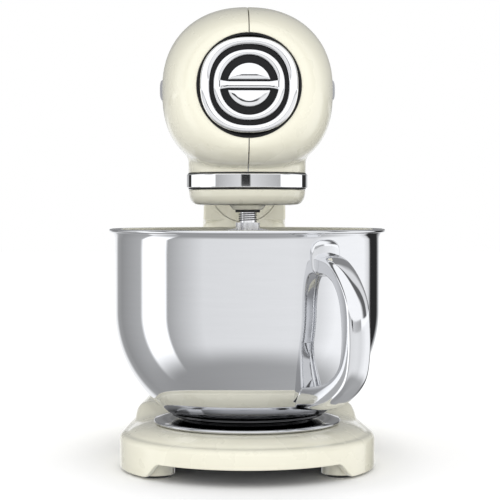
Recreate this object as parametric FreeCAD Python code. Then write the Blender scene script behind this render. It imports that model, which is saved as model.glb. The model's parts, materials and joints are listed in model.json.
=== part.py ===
import FreeCAD, Part
import math
import os

# Tilt-head stand mixer. Millimetres, +Z up, -Y to the front where the bowl stands.
# The origin is on the resting plane, under the middle of the whole mixer.

V = FreeCAD.Vector

# ---- whole mixer ----
BOWL_Y = -70.7             # bowl and planetary axis
BASE_REAR = 204.5
HINGE_Y = BOWL_Y + 165.0
HINGE_Z = 215.0

# ---- base and column ----
BASE_R = 103.3             # round front of the base, about the bowl axis
BASE_SKIRT_TOP = 28.4
BASE_TOP = 36.0
BASE_BOTTOM = 2.0
BASE_WALL = 5.0
ARCH_TOP = 13.3
SIDE_TAPER = math.radians(4.0)
REAR_CORNER_R = 52.0
COLUMN_WALL = 5.0
COLUMN_FOOT = 34.0
COLUMN_TOP = 212.0
EAR_R = 22.0
EAR_OUT = 36.5
EAR_OUTLINE = [(-36, -8), (-35.5, 8), (-33, 14), (-28, 18), (-20, 20.5), (-8, 21.5), (8, 20.5), (16, 15),
               (34, -5), (34, -8)]  # about the hinge: towards the rear, then up
LUG_R = 19.0
LUG_HALF = 26.0
PIN_R = 5.0
FOOT_R = 11.5
FOOT_SPOTS = [(-72.0, BOWL_Y - 46.0), (72.0, BOWL_Y - 46.0), (-66.0, 158.0), (66.0, 158.0)]
GLAND_X = 46.0
GLAND_Z = 20.0
GLAND_R = 6.5
BUTTON_Z = 182.0
BUTTON_R = 9.0

# ---- head ----
HEAD_FRONT = BOWL_Y - 85.0
HEAD_REAR = BOWL_Y + 245.0
CROWN_Y = BOWL_Y + 82.0
TAIL_Y = BOWL_Y + 40.0
HEAD_TOP = 375.6
HEAD_LOW = 239.0
HEAD_HALF = 68.0
UPPER_POWER = 2.22         # roundness of the head's section, above and below its widest line
LOWER_POWER = 2.56
CAP_Z = 302.0
CAP_SEAT = 41.0
TAIL_Z = 300.0
HEAD_WALL = 2.8
NECK_R = 47.4
BAND_R = 48.8
BAND = (225.5, 236.5)
WELL_R = 39.7
LEVER_Y = BOWL_Y + 186.0
LEVER_Z = 323.0

# ---- drive ----
RING_TEETH = 46
PLANET_TEETH = 16
PLANET_MODULE = 1.6
OFFSET = PLANET_MODULE * (RING_TEETH - PLANET_TEETH) / 2
BEVEL_TEETH = 32
BEVEL_PINION_TEETH = 16
BEVEL_MODULE = 2.0
MAIN_TEETH = 42
MOTOR_TEETH = 14
SPUR_MODULE = 0.9
MOTOR_Z = CAP_Z + SPUR_MODULE * (MAIN_TEETH + MOTOR_TEETH) / 2
TOOL_Y = BOWL_Y - OFFSET
TOOL_R = 6.0
PLANET_SHAFT_R = 7.0
MAIN_SHAFT_R = 6.0
HUB_BORE_R = 12.7
RUNNING = 0.05             # radial clearance of a running fit
DECK = (254.0, 261.0)

# ---- bowl ----
BOWL_R = 106.5
BOWL_RIM_R = 111.5
BOWL_RIM_Z = 191.4
BOWL_CURVE_Z = 127.0
BOWL_DEPTH = 102.0
BOWL_FLOOR = 44.5
BOWL_SHEET = 1.2
PLATE_R = 75.7
HANDLE_TURN = 32.5         # degrees from the front towards +X
HANDLE_HALF = 9.75


def upright(radius, low, high, x=0.0, y=BOWL_Y):
    return Part.makeCylinder(radius, high - low, V(x, y, low), V(0, 0, 1))


def sleeve(outer, inner, low, high, x=0.0, y=BOWL_Y):
    return upright(outer, low, high, x, y).cut(upright(inner, low - 1, high + 1, x, y))


def along_y(radius, front, rear, x=0.0, z=CAP_Z):
    return Part.makeCylinder(radius, rear - front, V(x, front, z), V(0, 1, 0))


def sleeve_y(outer, inner, front, rear, x=0.0, z=CAP_Z):
    return along_y(outer, front, rear, x, z).cut(along_y(inner, front - 1, rear + 1, x, z))


def along_x(radius, left, right, y=HINGE_Y, z=HINGE_Z):
    return Part.makeCylinder(radius, right - left, V(left, y, z), V(1, 0, 0))


def block(x, y, z):
    return Part.makeBox(x[1] - x[0], y[1] - y[0], z[1] - z[0], V(x[0], y[0], z[0]))


def joined(shapes):
    return shapes[0].fuse(shapes[1:]).removeSplitter()


def group(shapes):
    return Part.makeCompound(shapes)


def mirrored(shape):
    return shape.mirror(V(0, 0, 0), V(1, 0, 0))


def turned(outline, y=BOWL_Y):
    """Solid of revolution about the upright axis at y, from (radius, height) points."""
    points = [V(radius, y, height) for radius, height in outline]
    face = Part.Face(Part.makePolygon(points + points[:1]))
    return face.revolve(V(0, y, 0), V(0, 0, 1), 360)


def smooth(points):
    curve = Part.BSplineCurve()
    curve.interpolate(points)
    return curve.toShape()


def prism(points, direction):
    """Solid swept from a flat closed polygon."""
    return Part.Face(Part.makePolygon(points + points[:1])).extrude(direction)


def rounded_face(half_x, half_z, powers, y, z=CAP_Z, steps=32):
    """Flat superellipse across the Y axis, with one power above its middle and one below."""
    points = []
    for step in range(steps):
        angle = 2 * math.pi * step / steps
        cosine, sine = math.cos(angle), math.sin(angle)
        power = powers[0] if sine > 0 else powers[1]
        x = half_x * math.copysign(abs(cosine) ** (2 / power), cosine)
        height = half_z * math.copysign(abs(sine) ** (2 / power), sine)
        points.append(V(x, y, z + height))
    curve = Part.BSplineCurve()
    curve.interpolate(points, PeriodicFlag=True)
    return Part.Wire([curve.toShape()])


def rounded_bar(half_x, half_z, power, front, rear, z=CAP_Z):
    wire = rounded_face(half_x, half_z, (power, power), front, z)
    return Part.Face(wire).extrude(V(0, rear - front, 0))


def coil(radius, wire, low, high, turns, y):
    """Upright compression spring standing on low, under high, about the axis at y."""
    path = Part.makeHelix((high - low - 2 * wire) / turns, high - low - 2 * wire, radius)
    section = Part.Wire([Part.makeCircle(wire, V(radius, 0, 0), V(0, 1, 0))])
    spring = Part.Wire(path.Edges).makePipeShell([section], True, True)
    spring.translate(V(0, y, low + wire))
    return spring


# ---- gears ----

def involute(angle):
    return math.tan(angle) - angle


def gear_outline(teeth, module, addendum, dedendum, slack, start):
    """Involute outline about the origin, with a tooth centred on the start angle."""
    pitch = module * teeth / 2
    base = pitch * math.cos(math.radians(20))
    root = pitch - dedendum
    tip = pitch + addendum
    lowest = max(root, base)
    flank = [root] + [lowest + (tip - lowest) * step / 4 for step in range(5)]
    if lowest == root:
        flank = flank[1:]

    def half_angle(radius):
        pressure = math.acos(min(1.0, base / max(radius, base)))
        spread = involute(math.radians(20)) - involute(pressure)
        return math.pi / (2 * teeth) - slack / (2 * pitch) + spread

    points = []
    for tooth in range(teeth):
        centre = start + 2 * math.pi * tooth / teeth
        for radius in flank:
            angle = centre - half_angle(radius)
            points.append(V(radius * math.cos(angle), radius * math.sin(angle), 0))
        for radius in reversed(flank):
            angle = centre + half_angle(radius)
            points.append(V(radius * math.cos(angle), radius * math.sin(angle), 0))
    return points


def bevel_outline(teeth, mate_teeth, start, slack=0.4, addendum=1.5, dedendum=2.4):
    """Tooth outline of a bevel gear on its large end, and that end's distance from the apex."""
    pitch = BEVEL_MODULE * teeth / 2
    height = BEVEL_MODULE * mate_teeth / 2
    cone = math.hypot(pitch, height)
    lean = math.atan2(pitch, height)
    points = []
    for tooth in range(teeth):
        centre = start + 2 * math.pi * tooth / teeth
        half = math.pi * BEVEL_MODULE / 4 - slack / 2
        rows = []
        for rise in (-dedendum, -0.4 * addendum, 0.3 * addendum, addendum):
            radius = height * math.tan(lean + math.atan2(rise, cone))
            width = half - rise * math.tan(math.radians(20)) - 0.02 * rise * rise
            rows.append((radius, width / (pitch + rise * math.cos(lean))))
        for radius, angle in rows:
            points.append(V(radius * math.cos(centre - angle), radius * math.sin(centre - angle), 0))
        for radius, angle in reversed(rows):
            points.append(V(radius * math.cos(centre + angle), radius * math.sin(centre + angle), 0))
    return points, height


def bevel_solid(teeth, mate_teeth, start, kept=0.78):
    """Bevel gear about +Z with its apex at the origin, teeth from kept to 1 of the cone."""
    outline, height = bevel_outline(teeth, mate_teeth, start)
    wires = []
    for scale in (kept, 1.0):
        ring = [V(point.x * scale, point.y * scale, height * scale) for point in outline]
        wires.append(Part.makePolygon(ring + ring[:1]))
    return Part.makeLoft(wires, True, True)


def swing_to_y(shape):
    """Turn a shape made about +Z so that its +Z points along +Y and its +Y points down."""
    shape.rotate(V(0, 0, 0), V(1, 0, 0), -90)
    return shape


# ---- base and column ----

def base_plan(inset, low, high):
    """Plan of the base, round in front and tapering to its rounded rear corners, as a solid."""
    radius = BASE_R - inset
    bend = REAR_CORNER_R - inset
    side = V(math.cos(SIDE_TAPER), math.sin(SIDE_TAPER), 0)
    corner_y = BASE_REAR - REAR_CORNER_R
    corner_x = (BASE_R - REAR_CORNER_R - side.y * (corner_y - BOWL_Y)) / side.x
    centre = V(corner_x, corner_y, low)
    halfway = (SIDE_TAPER + math.pi / 2) / 2
    tangent = V(0, BOWL_Y, low) + side * radius
    shoulder = centre + side * bend
    bulge = centre + V(math.cos(halfway), math.sin(halfway), 0) * bend
    heel = centre + V(0, bend, 0)

    def left(point):
        return V(-point.x, point.y, point.z)

    edges = [
        Part.Arc(left(tangent), V(0, BOWL_Y - radius, low), tangent).toShape(),
        Part.LineSegment(tangent, shoulder).toShape(),
        Part.Arc(shoulder, bulge, heel).toShape(),
        Part.LineSegment(heel, left(heel)).toShape(),
        Part.Arc(left(heel), left(bulge), left(shoulder)).toShape(),
        Part.LineSegment(left(shoulder), left(tangent)).toShape(),
    ]
    return Part.Face(Part.Wire(edges)).extrude(V(0, 0, high - low))


def column_section(height, inset):
    """Rounded section of the column at one height: narrow at the ears, spreading to the base."""
    fall = (COLUMN_TOP - height) / (COLUMN_TOP - COLUMN_FOOT)
    half = 36.5 + 12.0 * fall + 36.0 * fall ** 5 - inset
    front = BOWL_Y + 128.0 - 12.0 * fall - 28.0 * fall ** 4 + inset
    rear = BOWL_Y + 200.0 + 36.0 * fall + 30.0 * fall ** 4 - inset
    middle = (front + rear) / 2
    depth = (rear - front) / 2
    points = []
    for step in range(32):
        angle = 2 * math.pi * step / 32
        cosine, sine = math.cos(angle), math.sin(angle)
        x = half * math.copysign(abs(cosine) ** 0.72, cosine)
        y = middle + depth * math.copysign(abs(sine) ** 0.72, sine)
        points.append(V(x, y, height))
    curve = Part.BSplineCurve()
    curve.interpolate(points, PeriodicFlag=True)
    return Part.Wire([curve.toShape()])


def column_body(inset, low, high):
    heights = [low + (high - low) * step / 6 for step in range(7)]
    return Part.makeLoft([column_section(height, inset) for height in heights], True)


def rim_edges(shape, height):
    return [edge for edge in shape.Edges
            if all(abs(vertex.Z - height) < 0.01 for vertex in edge.Vertexes)]


def lug_path():
    """Room that the head's lug needs between the ears, from rest to fully raised."""
    gap = LUG_HALF + 0.5
    room = [along_x(LUG_R + 1.0, -gap, gap)]
    for turn in (0, -15, -30, -45, -48):
        slab = block((-gap, gap), (HINGE_Y - LUG_R - 1, HINGE_Y + LUG_R + 1), (HINGE_Z, HINGE_Z + 60))
        slab.rotate(V(0, HINGE_Y, HINGE_Z), V(1, 0, 0), turn)
        room.append(slab)
    return joined(room)


def arch(width, across):
    """Cut through the skirt between two feet; its ends slope outwards to the floor."""
    outline = [(-width - 9, 0), (-width - 6, 4), (-width, ARCH_TOP - 1.5), (-width + 4, ARCH_TOP)]
    outline = outline + [(-offset, height) for offset, height in reversed(outline)]
    points = [V(offset, -300, height) for offset, height in outline]
    cutter = prism(points, V(0, 600, 0))
    if across:
        cutter.rotate(V(0, 0, 0), V(0, 0, 1), 90)
    return cutter


def stand_casting():
    skirt = base_plan(0, BASE_BOTTOM, BASE_SKIRT_TOP)
    skirt = skirt.makeFillet(4.5, rim_edges(skirt, BASE_SKIRT_TOP))
    dome = turned([(0, 27), (97.5, 27), (97.5, 28.4), (93, 31.4), (86, 34.2), (78, BASE_TOP), (0, BASE_TOP)])
    deck = base_plan(4.0, 20, 42)
    deck = deck.makeFillet(9.0, rim_edges(deck, 42))
    deck = deck.cut(upright(92.0, 0, 60)).cut(block((-200, 200), (-300, BOWL_Y + 40), (0, 60)))
    column = column_body(0, COLUMN_FOOT, COLUMN_TOP)
    ears = along_x(EAR_R, -EAR_OUT, EAR_OUT)
    brow = prism([V(-EAR_OUT, HINGE_Y + y, HINGE_Z + z) for y, z in EAR_OUTLINE], V(2 * EAR_OUT, 0, 0))
    body = joined([skirt, dome, deck, column, ears, brow])
    cavity = base_plan(BASE_WALL, 0, 22)
    hollow = column_body(COLUMN_WALL, COLUMN_FOOT, 188)
    well = block((-52, 52), (BOWL_Y + 112, 160), (20, 37))
    front_arch = arch(73.0, False).common(block((-200, 200), (-300, BOWL_Y - 30), (-1, 30)))
    rear_arch = arch(46.0, False).common(block((-200, 200), (150, 300), (-1, 30)))
    side_arch = arch(56.0, True)
    side_arch.translate(V(0, 50, 0))
    body = body.cut(cavity).cut(hollow).cut(well)
    body = body.cut(front_arch).cut(rear_arch).cut(side_arch)
    posts = [upright(FOOT_R + 3, BASE_BOTTOM, 23, x, y) for x, y in FOOT_SPOTS]
    posts = [post.common(base_plan(1.0, 0, 30)) for post in posts]
    body = joined([body, rod_guide()] + posts)
    for x, y in FOOT_SPOTS:
        body = body.cut(upright(FOOT_R, 0, 6, x, y))
    body = body.cut(lug_path())
    body = body.cut(along_x(PIN_R, -32, 32))
    body = body.cut(along_y(12.5, 126, 150, 0, BUTTON_Z))
    body = body.cut(block((-4.5, 4.5), (HINGE_Y - 13, HINGE_Y - 1), (180, 198)))
    body = body.cut(along_y(GLAND_R, 180, 210, GLAND_X, GLAND_Z))
    return body.cut(upright(30, 30, 40))


def bottom_cover():
    cover = base_plan(BASE_WALL + 0.5, 15, 17)
    for x, y in FOOT_SPOTS:
        cover = cover.cut(upright(FOOT_R + 3.5, 10, 20, x, y))
    cover = cover.cut(block((34, 58), (176, 210), (14, 18)))
    for x, y in cover_screw_spots():
        cover = cover.cut(upright(1.6, 14, 18, x, y))
    return cover


def cover_screw_spots():
    return [(-44, -130), (44, -130), (-70, 0), (70, 0), (-30, 160), (30, 160)]


def cover_screws():
    screws = []
    for x, y in cover_screw_spots():
        head = upright(3.4, 13, 15, x, y)
        head = head.cut(block((x - 0.5, x + 0.5), (y - 3, y + 3), (12, 13.8)))
        screws.append(joined([head, upright(1.6, 14, 21.8, x, y)]))
    return group(screws)


def rubber_feet():
    return group([upright(FOOT_R, 0, 6, x, y) for x, y in FOOT_SPOTS])


def sector(outer, inner, low, high, middle, spread):
    """Part of a ring about the bowl axis, centred on an angle in degrees."""
    start = math.radians(middle - spread / 2)
    axis = V(math.cos(start), math.sin(start), 0)
    ring = Part.makeCylinder(outer, high - low, V(0, BOWL_Y, low), V(0, 0, 1), spread)
    ring = ring.cut(upright(inner, low - 1, high + 1))
    ring.rotate(V(0, BOWL_Y, 0), V(0, 0, 1), math.degrees(math.atan2(axis.y, axis.x)))
    return ring


def bowl_seat():
    seat = turned([(0, 30), (29.8, 30), (29.8, BASE_TOP), (45.5, BASE_TOP), (46.5, 37), (46.5, 41),
                   (45.5, 42), (12, 42), (10, 41), (0, 41)])
    hooks = [sector(50.6, 44, 39.6, 42, turn, 34) for turn in (30, 150, 270)]
    return joined([seat] + hooks)


def cord_gland():
    return sleeve_y(GLAND_R, 3.6, 190, 203.6, GLAND_X, GLAND_Z)


def hinge_pin():
    return along_x(PIN_R, -32, 32)


def release_bezel():
    return sleeve_y(12.5, BUTTON_R + 0.4, 127, 141.5, 0, BUTTON_Z).cut(column_body(COLUMN_WALL, 160, 188))


def release_button():
    cap = along_y(BUTTON_R, 130, 144, 0, BUTTON_Z)
    return cap.makeFillet(1.2, [edge for edge in cap.Edges if abs(edge.CenterOfMass.y - 144) < 0.01])


def release_rod():
    rod = along_y(3.0, HINGE_Y - 10, 130, 0, BUTTON_Z)
    tooth = block((-3, 3), (HINGE_Y - 8, HINGE_Y - 2), (BUTTON_Z, 194.6))
    collar = along_y(5.6, 126, 128, 0, BUTTON_Z)
    return joined([rod, tooth, collar])


def rod_guide():
    """Wall inside the column that the release rod slides in."""
    plate = block((-40, 40), (110, 114), (166, 190)).common(column_body(1.0, COLUMN_FOOT, COLUMN_TOP))
    return plate.cut(along_y(3.0 + RUNNING, 100, 120, 0, BUTTON_Z))


def release_spring():
    spring = coil(4.8, 0.6, 0, 11.8, 5, 0)
    spring = swing_to_y(spring)
    spring.translate(V(0, 114.1, BUTTON_Z))
    return spring


def tilt_switch():
    case = block((-10, 10), (HINGE_Y - 32, HINGE_Y - 22), (170, 187))
    plunger = upright(2.0, 160, 171, 0, HINGE_Y - 27)
    return joined([case, plunger])


# ---- head casing ----

def swell(share, power):
    share = min(1.0, max(0.0, share))
    return (1 - (1 - share) ** power) ** (1 / power)


def head_profile(y):
    """Half width, top and bottom of the head at one place along it."""
    ahead = y - HEAD_FRONT
    behind = HEAD_REAR - y
    half = CAP_SEAT + (HEAD_HALF - CAP_SEAT) * swell(ahead / 75, 2)
    top = CAP_Z + CAP_SEAT + (HEAD_TOP - CAP_Z - CAP_SEAT) * swell(ahead / (CROWN_Y - HEAD_FRONT), 2)
    low = CAP_Z - CAP_SEAT - (CAP_Z - CAP_SEAT - HEAD_LOW) * swell(ahead / 60, 2)
    if y > TAIL_Y:
        half = HEAD_HALF * swell(behind / (HEAD_REAR - TAIL_Y), 2.6)
        low = TAIL_Z - (TAIL_Z - HEAD_LOW) * swell(behind / (HEAD_REAR - TAIL_Y), 3)
    if y > CROWN_Y:
        top = TAIL_Z + (HEAD_TOP - TAIL_Z) * swell(behind / (HEAD_REAR - CROWN_Y), 2.4)
    return half, top, low


def head_section(y, wall):
    probe = y
    if wall:
        probe = y - 3.2 if y < CROWN_Y else y + 3.2
    half, top, low = head_profile(probe)
    share = min(1.0, max(0.0, (probe - HEAD_FRONT) / 40))
    powers = (2 + (UPPER_POWER - 2) * share, 2 + (LOWER_POWER - 2) * share)
    return rounded_face(half - wall, (top - low) / 2 - wall, powers, y, (top + low) / 2, 40)


def head_body(wall, inset_front, inset_rear):
    front = HEAD_FRONT + inset_front
    rear = HEAD_REAR - inset_rear
    nose = [front + 75 * (1 - math.cos(math.radians(turn))) for turn in (0, 20, 40, 60, 80)]
    middle = [BOWL_Y + 15, TAIL_Y, TAIL_Y + 40]
    tail = [TAIL_Y + (rear - TAIL_Y) * math.sin(math.radians(turn)) for turn in (24, 36, 50, 64, 76, 86)]
    return Part.makeLoft([head_section(y, wall) for y in nose + middle + tail], True)


def lever_slot(radius_in, radius_out, sweep, half_depth):
    """Curved room about the speed lever's axis, open to the top."""
    room = along_y(radius_out, LEVER_Y - half_depth, LEVER_Y + half_depth, 0, LEVER_Z)
    room = room.cut(along_y(radius_in, LEVER_Y - 50, LEVER_Y + 50, 0, LEVER_Z))
    wedge = prism([V(0, LEVER_Y - 50, LEVER_Z),
                   V(100 * math.sin(sweep), LEVER_Y - 50, LEVER_Z + 100 * math.cos(sweep)),
                   V(-100 * math.sin(sweep), LEVER_Y - 50, LEVER_Z + 100 * math.cos(sweep))],
                  V(0, 100, 0))
    return room.common(wedge)


def slot_trim():
    """Chrome plate round the speed lever's slot."""
    plate = lever_slot(39.6, 41.6, math.radians(32), 9.0)
    return plate.cut(lever_slot(30, 60, math.radians(24), 3.6))


def side_trim(outer, side):
    bar = rounded_bar(3.2, 8.25, 3.0, BOWL_Y - 14, BOWL_Y + 70, 303.5)
    bar.translate(V(side * (HEAD_HALF - 1.3), 0, 0))
    return bar.cut(outer)


def head_shells():
    outer = head_body(0, 0, 0)
    inner = head_body(HEAD_WALL, 5.0, 5.0)
    neck = upright(NECK_R, 237.6, 275)
    shell = joined([outer, neck]).cut(inner).cut(upright(44.4, 230, 262))
    lug_room = block((-LUG_HALF - 0.4, LUG_HALF + 0.4), (HINGE_Y - LUG_R - 0.4, HINGE_Y + LUG_R + 0.4),
                     (220, 262))
    shell = shell.cut(lug_room).cut(along_x(EAR_R + 1.6, -60, 60))
    shell = shell.cut(along_y(WELL_R, HEAD_FRONT - 2, HEAD_FRONT + 8))
    shell = shell.cut(lever_slot(36, 60, math.radians(24), 3.6)).cut(lever_slot(39.6, 60, math.radians(32), 9.0))
    left = shell.common(block((-100, -0.35), (-300, 300), (200, 400)))
    right = shell.common(block((0.35, 100), (-300, 300), (200, 400)))
    trims = group([side_trim(outer, 1), side_trim(outer, -1), slot_trim()])
    return largest(left), largest(right), trims


def largest(shape):
    return max(shape.Solids, key=lambda solid: solid.Volume)


def chrome_band():
    low, high = BAND
    return turned([(44.0, low), (BAND_R - 0.8, low), (BAND_R, low + 0.8), (BAND_R, high - 0.8),
                   (BAND_R - 0.8, high), (44.0, high)])


def band_gaskets():
    low, high = BAND
    return group([sleeve(47.7, 44.0, high, high + 1.0), sleeve(47.4, 44.0, low - 0.9, low)])


def ring_gear():
    body = upright(43.9, 226, 252).cut(upright(40.0, 225, 240))
    space = gear_outline(RING_TEETH, PLANET_MODULE, 1.25 * PLANET_MODULE, 0.8 * PLANET_MODULE, -0.15,
                         -math.pi / 2)
    hole = prism(space, V(0, 0, 30))
    hole.translate(V(0, BOWL_Y, 230))
    return body.cut(hole)


def head_frame():
    rear_wall = (BOWL_Y + 44, BOWL_Y + 52)
    deck = joined([upright(41.0, *DECK), block((-36, 36), (BOWL_Y, BOWL_Y + 130), DECK),
                   block((-LUG_HALF, LUG_HALF), (BOWL_Y + 120, HINGE_Y + 12), DECK)])
    front_wall = block((-33, 33), (BOWL_Y - 56, BOWL_Y - 48), (DECK[0], 330))
    deck_nose = block((-33, 33), (BOWL_Y - 56, BOWL_Y - 20), DECK)
    back_wall = block((-33, 33), rear_wall, (DECK[0], 350))
    boss = upright(20.0, DECK[0], 266)
    lug = joined([along_x(LUG_R, -LUG_HALF, LUG_HALF),
                  block((-LUG_HALF, LUG_HALF), (HINGE_Y - LUG_R, HINGE_Y + LUG_R), (HINGE_Z, DECK[1]))])
    rib = block((-4, 4), rear_wall[1:] + (HINGE_Y - LUG_R + 2,), (DECK[1] - 1, 278))
    frame = joined([deck, deck_nose, front_wall, back_wall, boss, lug, rib])
    frame = frame.cut(upright(16.0, 250, 264)).cut(upright(PLANET_SHAFT_R + 2, 250, 280))
    frame = frame.cut(along_y(14.0, BOWL_Y - 60, BOWL_Y - 40))
    frame = frame.cut(along_y(14.0, rear_wall[0] - 1, rear_wall[1] + 1))
    frame = frame.cut(along_x(8.0, -30, 30))
    for x, z in standoff_spots():
        frame = frame.cut(along_y(2.0, rear_wall[0] - 1, rear_wall[1] + 1, x, z))
    return frame


def standoff_spots():
    return [(-28, 344), (28, 344), (-29, 308), (29, 308)]


def hinge_bushes():
    bush = along_x(8.0, 11, LUG_HALF).cut(along_x(PIN_R + RUNNING, 5, 30))
    return group([bush, mirrored(bush)])


def bearings():
    deck_bearing = sleeve(16.0, PLANET_SHAFT_R + RUNNING, 254, 264)
    front = sleeve_y(14.0, 10.0 + RUNNING, BOWL_Y - 56, BOWL_Y - 48)
    rear = sleeve_y(14.0, MAIN_SHAFT_R + RUNNING, BOWL_Y + 44, BOWL_Y + 52)
    motor_front = sleeve_y(8.0, 4.0 + RUNNING, BOWL_Y + 71, BOWL_Y + 76, 0, MOTOR_Z)
    motor_rear = sleeve_y(8.0, 4.0 + RUNNING, BOWL_Y + 156, BOWL_Y + 161, 0, MOTOR_Z)
    return group([deck_bearing, front, rear, motor_front, motor_rear])


def front_well():
    wall = sleeve_y(WELL_R, 37.9, HEAD_FRONT + 0.6, HEAD_FRONT + 11)
    floor = sleeve_y(WELL_R, 21.0, HEAD_FRONT + 9, HEAD_FRONT + 11)
    return joined([wall, floor])


def hub_housing():
    return sleeve_y(20.8, HUB_BORE_R, HEAD_FRONT + 8, BOWL_Y - 56)


# ---- front cap ----

def cap_dish():
    plate = rounded_bar(34.4, 33.4, 2.3, HEAD_FRONT - 1.0, HEAD_FRONT + 3.0)
    spigot = sleeve_y(26.0, 23.0, HEAD_FRONT + 2, HEAD_FRONT + 7.5)
    return joined([plate, spigot])


def cap_ring():
    """Outer chrome ring of the cap, rounded on its face."""
    ring = rounded_bar(37.1, 36.0, 2.3, HEAD_FRONT - 5.0, HEAD_FRONT + 0.2)
    hole = rounded_bar(29.8, 30.2, 2.3, HEAD_FRONT - 8.0, HEAD_FRONT - 1.0)
    seat = rounded_bar(34.4, 33.4, 2.3, HEAD_FRONT - 1.0, HEAD_FRONT + 5.0)
    return ring.cut(hole).cut(seat)


def cap_grille():
    """Inner chrome ring with its cross bar, and a half disc above and below the bar."""
    ring = rounded_bar(26.9, 26.5, 2.2, HEAD_FRONT - 4.5, HEAD_FRONT - 1.0)
    opening = rounded_bar(21.9, 22.4, 2.0, HEAD_FRONT - 8.0, HEAD_FRONT + 1.0)
    bar = block((-23, 23), (HEAD_FRONT - 4.5, HEAD_FRONT - 1.0), (CAP_Z - 3.0, CAP_Z + 3.0))
    disc = along_y(16.5, HEAD_FRONT - 4.0, HEAD_FRONT - 1.0)
    upper = disc.common(block((-20, 20), (-300, 0), (CAP_Z + 4.0, 400)))
    lower = disc.common(block((-20, 20), (-300, 0), (200, CAP_Z - 4.0)))
    return group([joined([ring.cut(opening), bar]), upper, lower])


# ---- motor and drive ----

def motor_bells():
    """End covers of the motor; the front one has the rods that hold it to the frame."""
    front = sleeve_y(37.5, 8.0, BOWL_Y + 72, BOWL_Y + 76, 0, MOTOR_Z)
    rear = sleeve_y(37.5, 8.0, BOWL_Y + 156, BOWL_Y + 160, 0, MOTOR_Z)
    for turn in range(6):
        angle = math.radians(60 * turn)
        x, z = 24 * math.cos(angle), MOTOR_Z + 24 * math.sin(angle)
        rear = rear.cut(along_y(6.0, BOWL_Y + 150, BOWL_Y + 165, x, z))
    rods = [along_y(3.5, BOWL_Y + 52, BOWL_Y + 73, x, z) for x, z in standoff_spots()]
    rods = rods + [along_y(2.0, BOWL_Y + 42, BOWL_Y + 53, x, z) for x, z in standoff_spots()]
    return group([joined([front] + rods), rear])


def motor_can():
    return sleeve_y(37.5, 35.5, BOWL_Y + 76, BOWL_Y + 156, 0, MOTOR_Z)


def stator():
    ring = sleeve_y(35.5, 30.0, BOWL_Y + 86, BOWL_Y + 132, 0, MOTOR_Z)
    poles = sleeve_y(31.0, 21.0, BOWL_Y + 86, BOWL_Y + 132, 0, MOTOR_Z)
    waist = block((-24, 24), (BOWL_Y + 80, BOWL_Y + 140), (MOTOR_Z - 40, MOTOR_Z + 40))
    return joined([ring, poles.common(waist)])


def field_coils():
    coils = []
    for front, rear in ((BOWL_Y + 78, BOWL_Y + 85.5), (BOWL_Y + 132.5, BOWL_Y + 140)):
        bent = sleeve_y(32.0, 22.5, front, rear, 0, MOTOR_Z)
        upper = bent.common(block((-26, 26), (front, rear), (MOTOR_Z + 6, MOTOR_Z + 40)))
        lower = bent.common(block((-26, 26), (front, rear), (MOTOR_Z - 40, MOTOR_Z - 6)))
        coils = coils + [upper, lower]
    return group(coils)


def brush_holders():
    holder = block((12, 27), (BOWL_Y + 144, BOWL_Y + 154), (MOTOR_Z - 5, MOTOR_Z + 5))
    holder = holder.cut(block((10, 30), (BOWL_Y + 146, BOWL_Y + 152), (MOTOR_Z - 3, MOTOR_Z + 3)))
    return group([holder, mirrored(holder)])


def carbon_brushes():
    brush = block((9.4, 22), (BOWL_Y + 146, BOWL_Y + 152), (MOTOR_Z - 3, MOTOR_Z + 3))
    return group([brush, mirrored(brush)])


def rotor_shaft():
    return along_y(4.0, BOWL_Y + 55, BOWL_Y + 173, 0, MOTOR_Z)


def rotor_part(radius, front, rear):
    return sleeve_y(radius, 4.0, front, rear, 0, MOTOR_Z)


def armature():
    stack = rotor_part(20.5, BOWL_Y + 87, BOWL_Y + 131)
    for slot in range(12):
        angle = math.radians(30 * slot + 15)
        x, z = 19.5 * math.cos(angle), MOTOR_Z + 19.5 * math.sin(angle)
        stack = stack.cut(along_y(1.8, BOWL_Y + 80, BOWL_Y + 140, x, z))
    return stack


def windings():
    return group([rotor_part(15.5, BOWL_Y + 79, BOWL_Y + 87), rotor_part(15.5, BOWL_Y + 131, BOWL_Y + 140)])


def cooling_fan():
    fan = rotor_part(9.0, BOWL_Y + 163, BOWL_Y + 171)
    plate = rotor_part(27.0, BOWL_Y + 169.5, BOWL_Y + 171)
    blades = []
    for blade in range(9):
        vane = block((8, 27), (BOWL_Y + 163, BOWL_Y + 170), (MOTOR_Z - 0.6, MOTOR_Z + 0.6))
        vane.rotate(V(0, 0, MOTOR_Z), V(0, 1, 0), 40 * blade)
        blades.append(vane)
    return joined([fan, plate] + blades)


def spur_on_y(teeth, module, bore, front, rear, z, start):
    outline = gear_outline(teeth, module, 0.85 * module, 1.25 * module, 0.15, start)
    gear = prism(outline, V(0, 0, rear - front))
    gear = swing_to_y(gear)
    gear.translate(V(0, front, z))
    return gear.cut(along_y(bore, front - 1, rear + 1, 0, z))


def motor_pinion():
    return spur_on_y(MOTOR_TEETH, SPUR_MODULE, 4.0, BOWL_Y + 57, BOWL_Y + 67, MOTOR_Z,
                     math.pi / 2 + math.pi / MOTOR_TEETH)


def main_gear():
    return spur_on_y(MAIN_TEETH, SPUR_MODULE, MAIN_SHAFT_R, BOWL_Y + 58, BOWL_Y + 66, CAP_Z, -math.pi / 2)


def main_shaft():
    return along_y(MAIN_SHAFT_R, BOWL_Y - 44, BOWL_Y + 68)


def hub_socket():
    hub = along_y(10.0, HEAD_FRONT + 29.5, BOWL_Y - 44)
    return hub.cut(block((-4.5, 4.5), (HEAD_FRONT + 20, HEAD_FRONT + 39), (CAP_Z - 4.5, CAP_Z + 4.5)))


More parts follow.
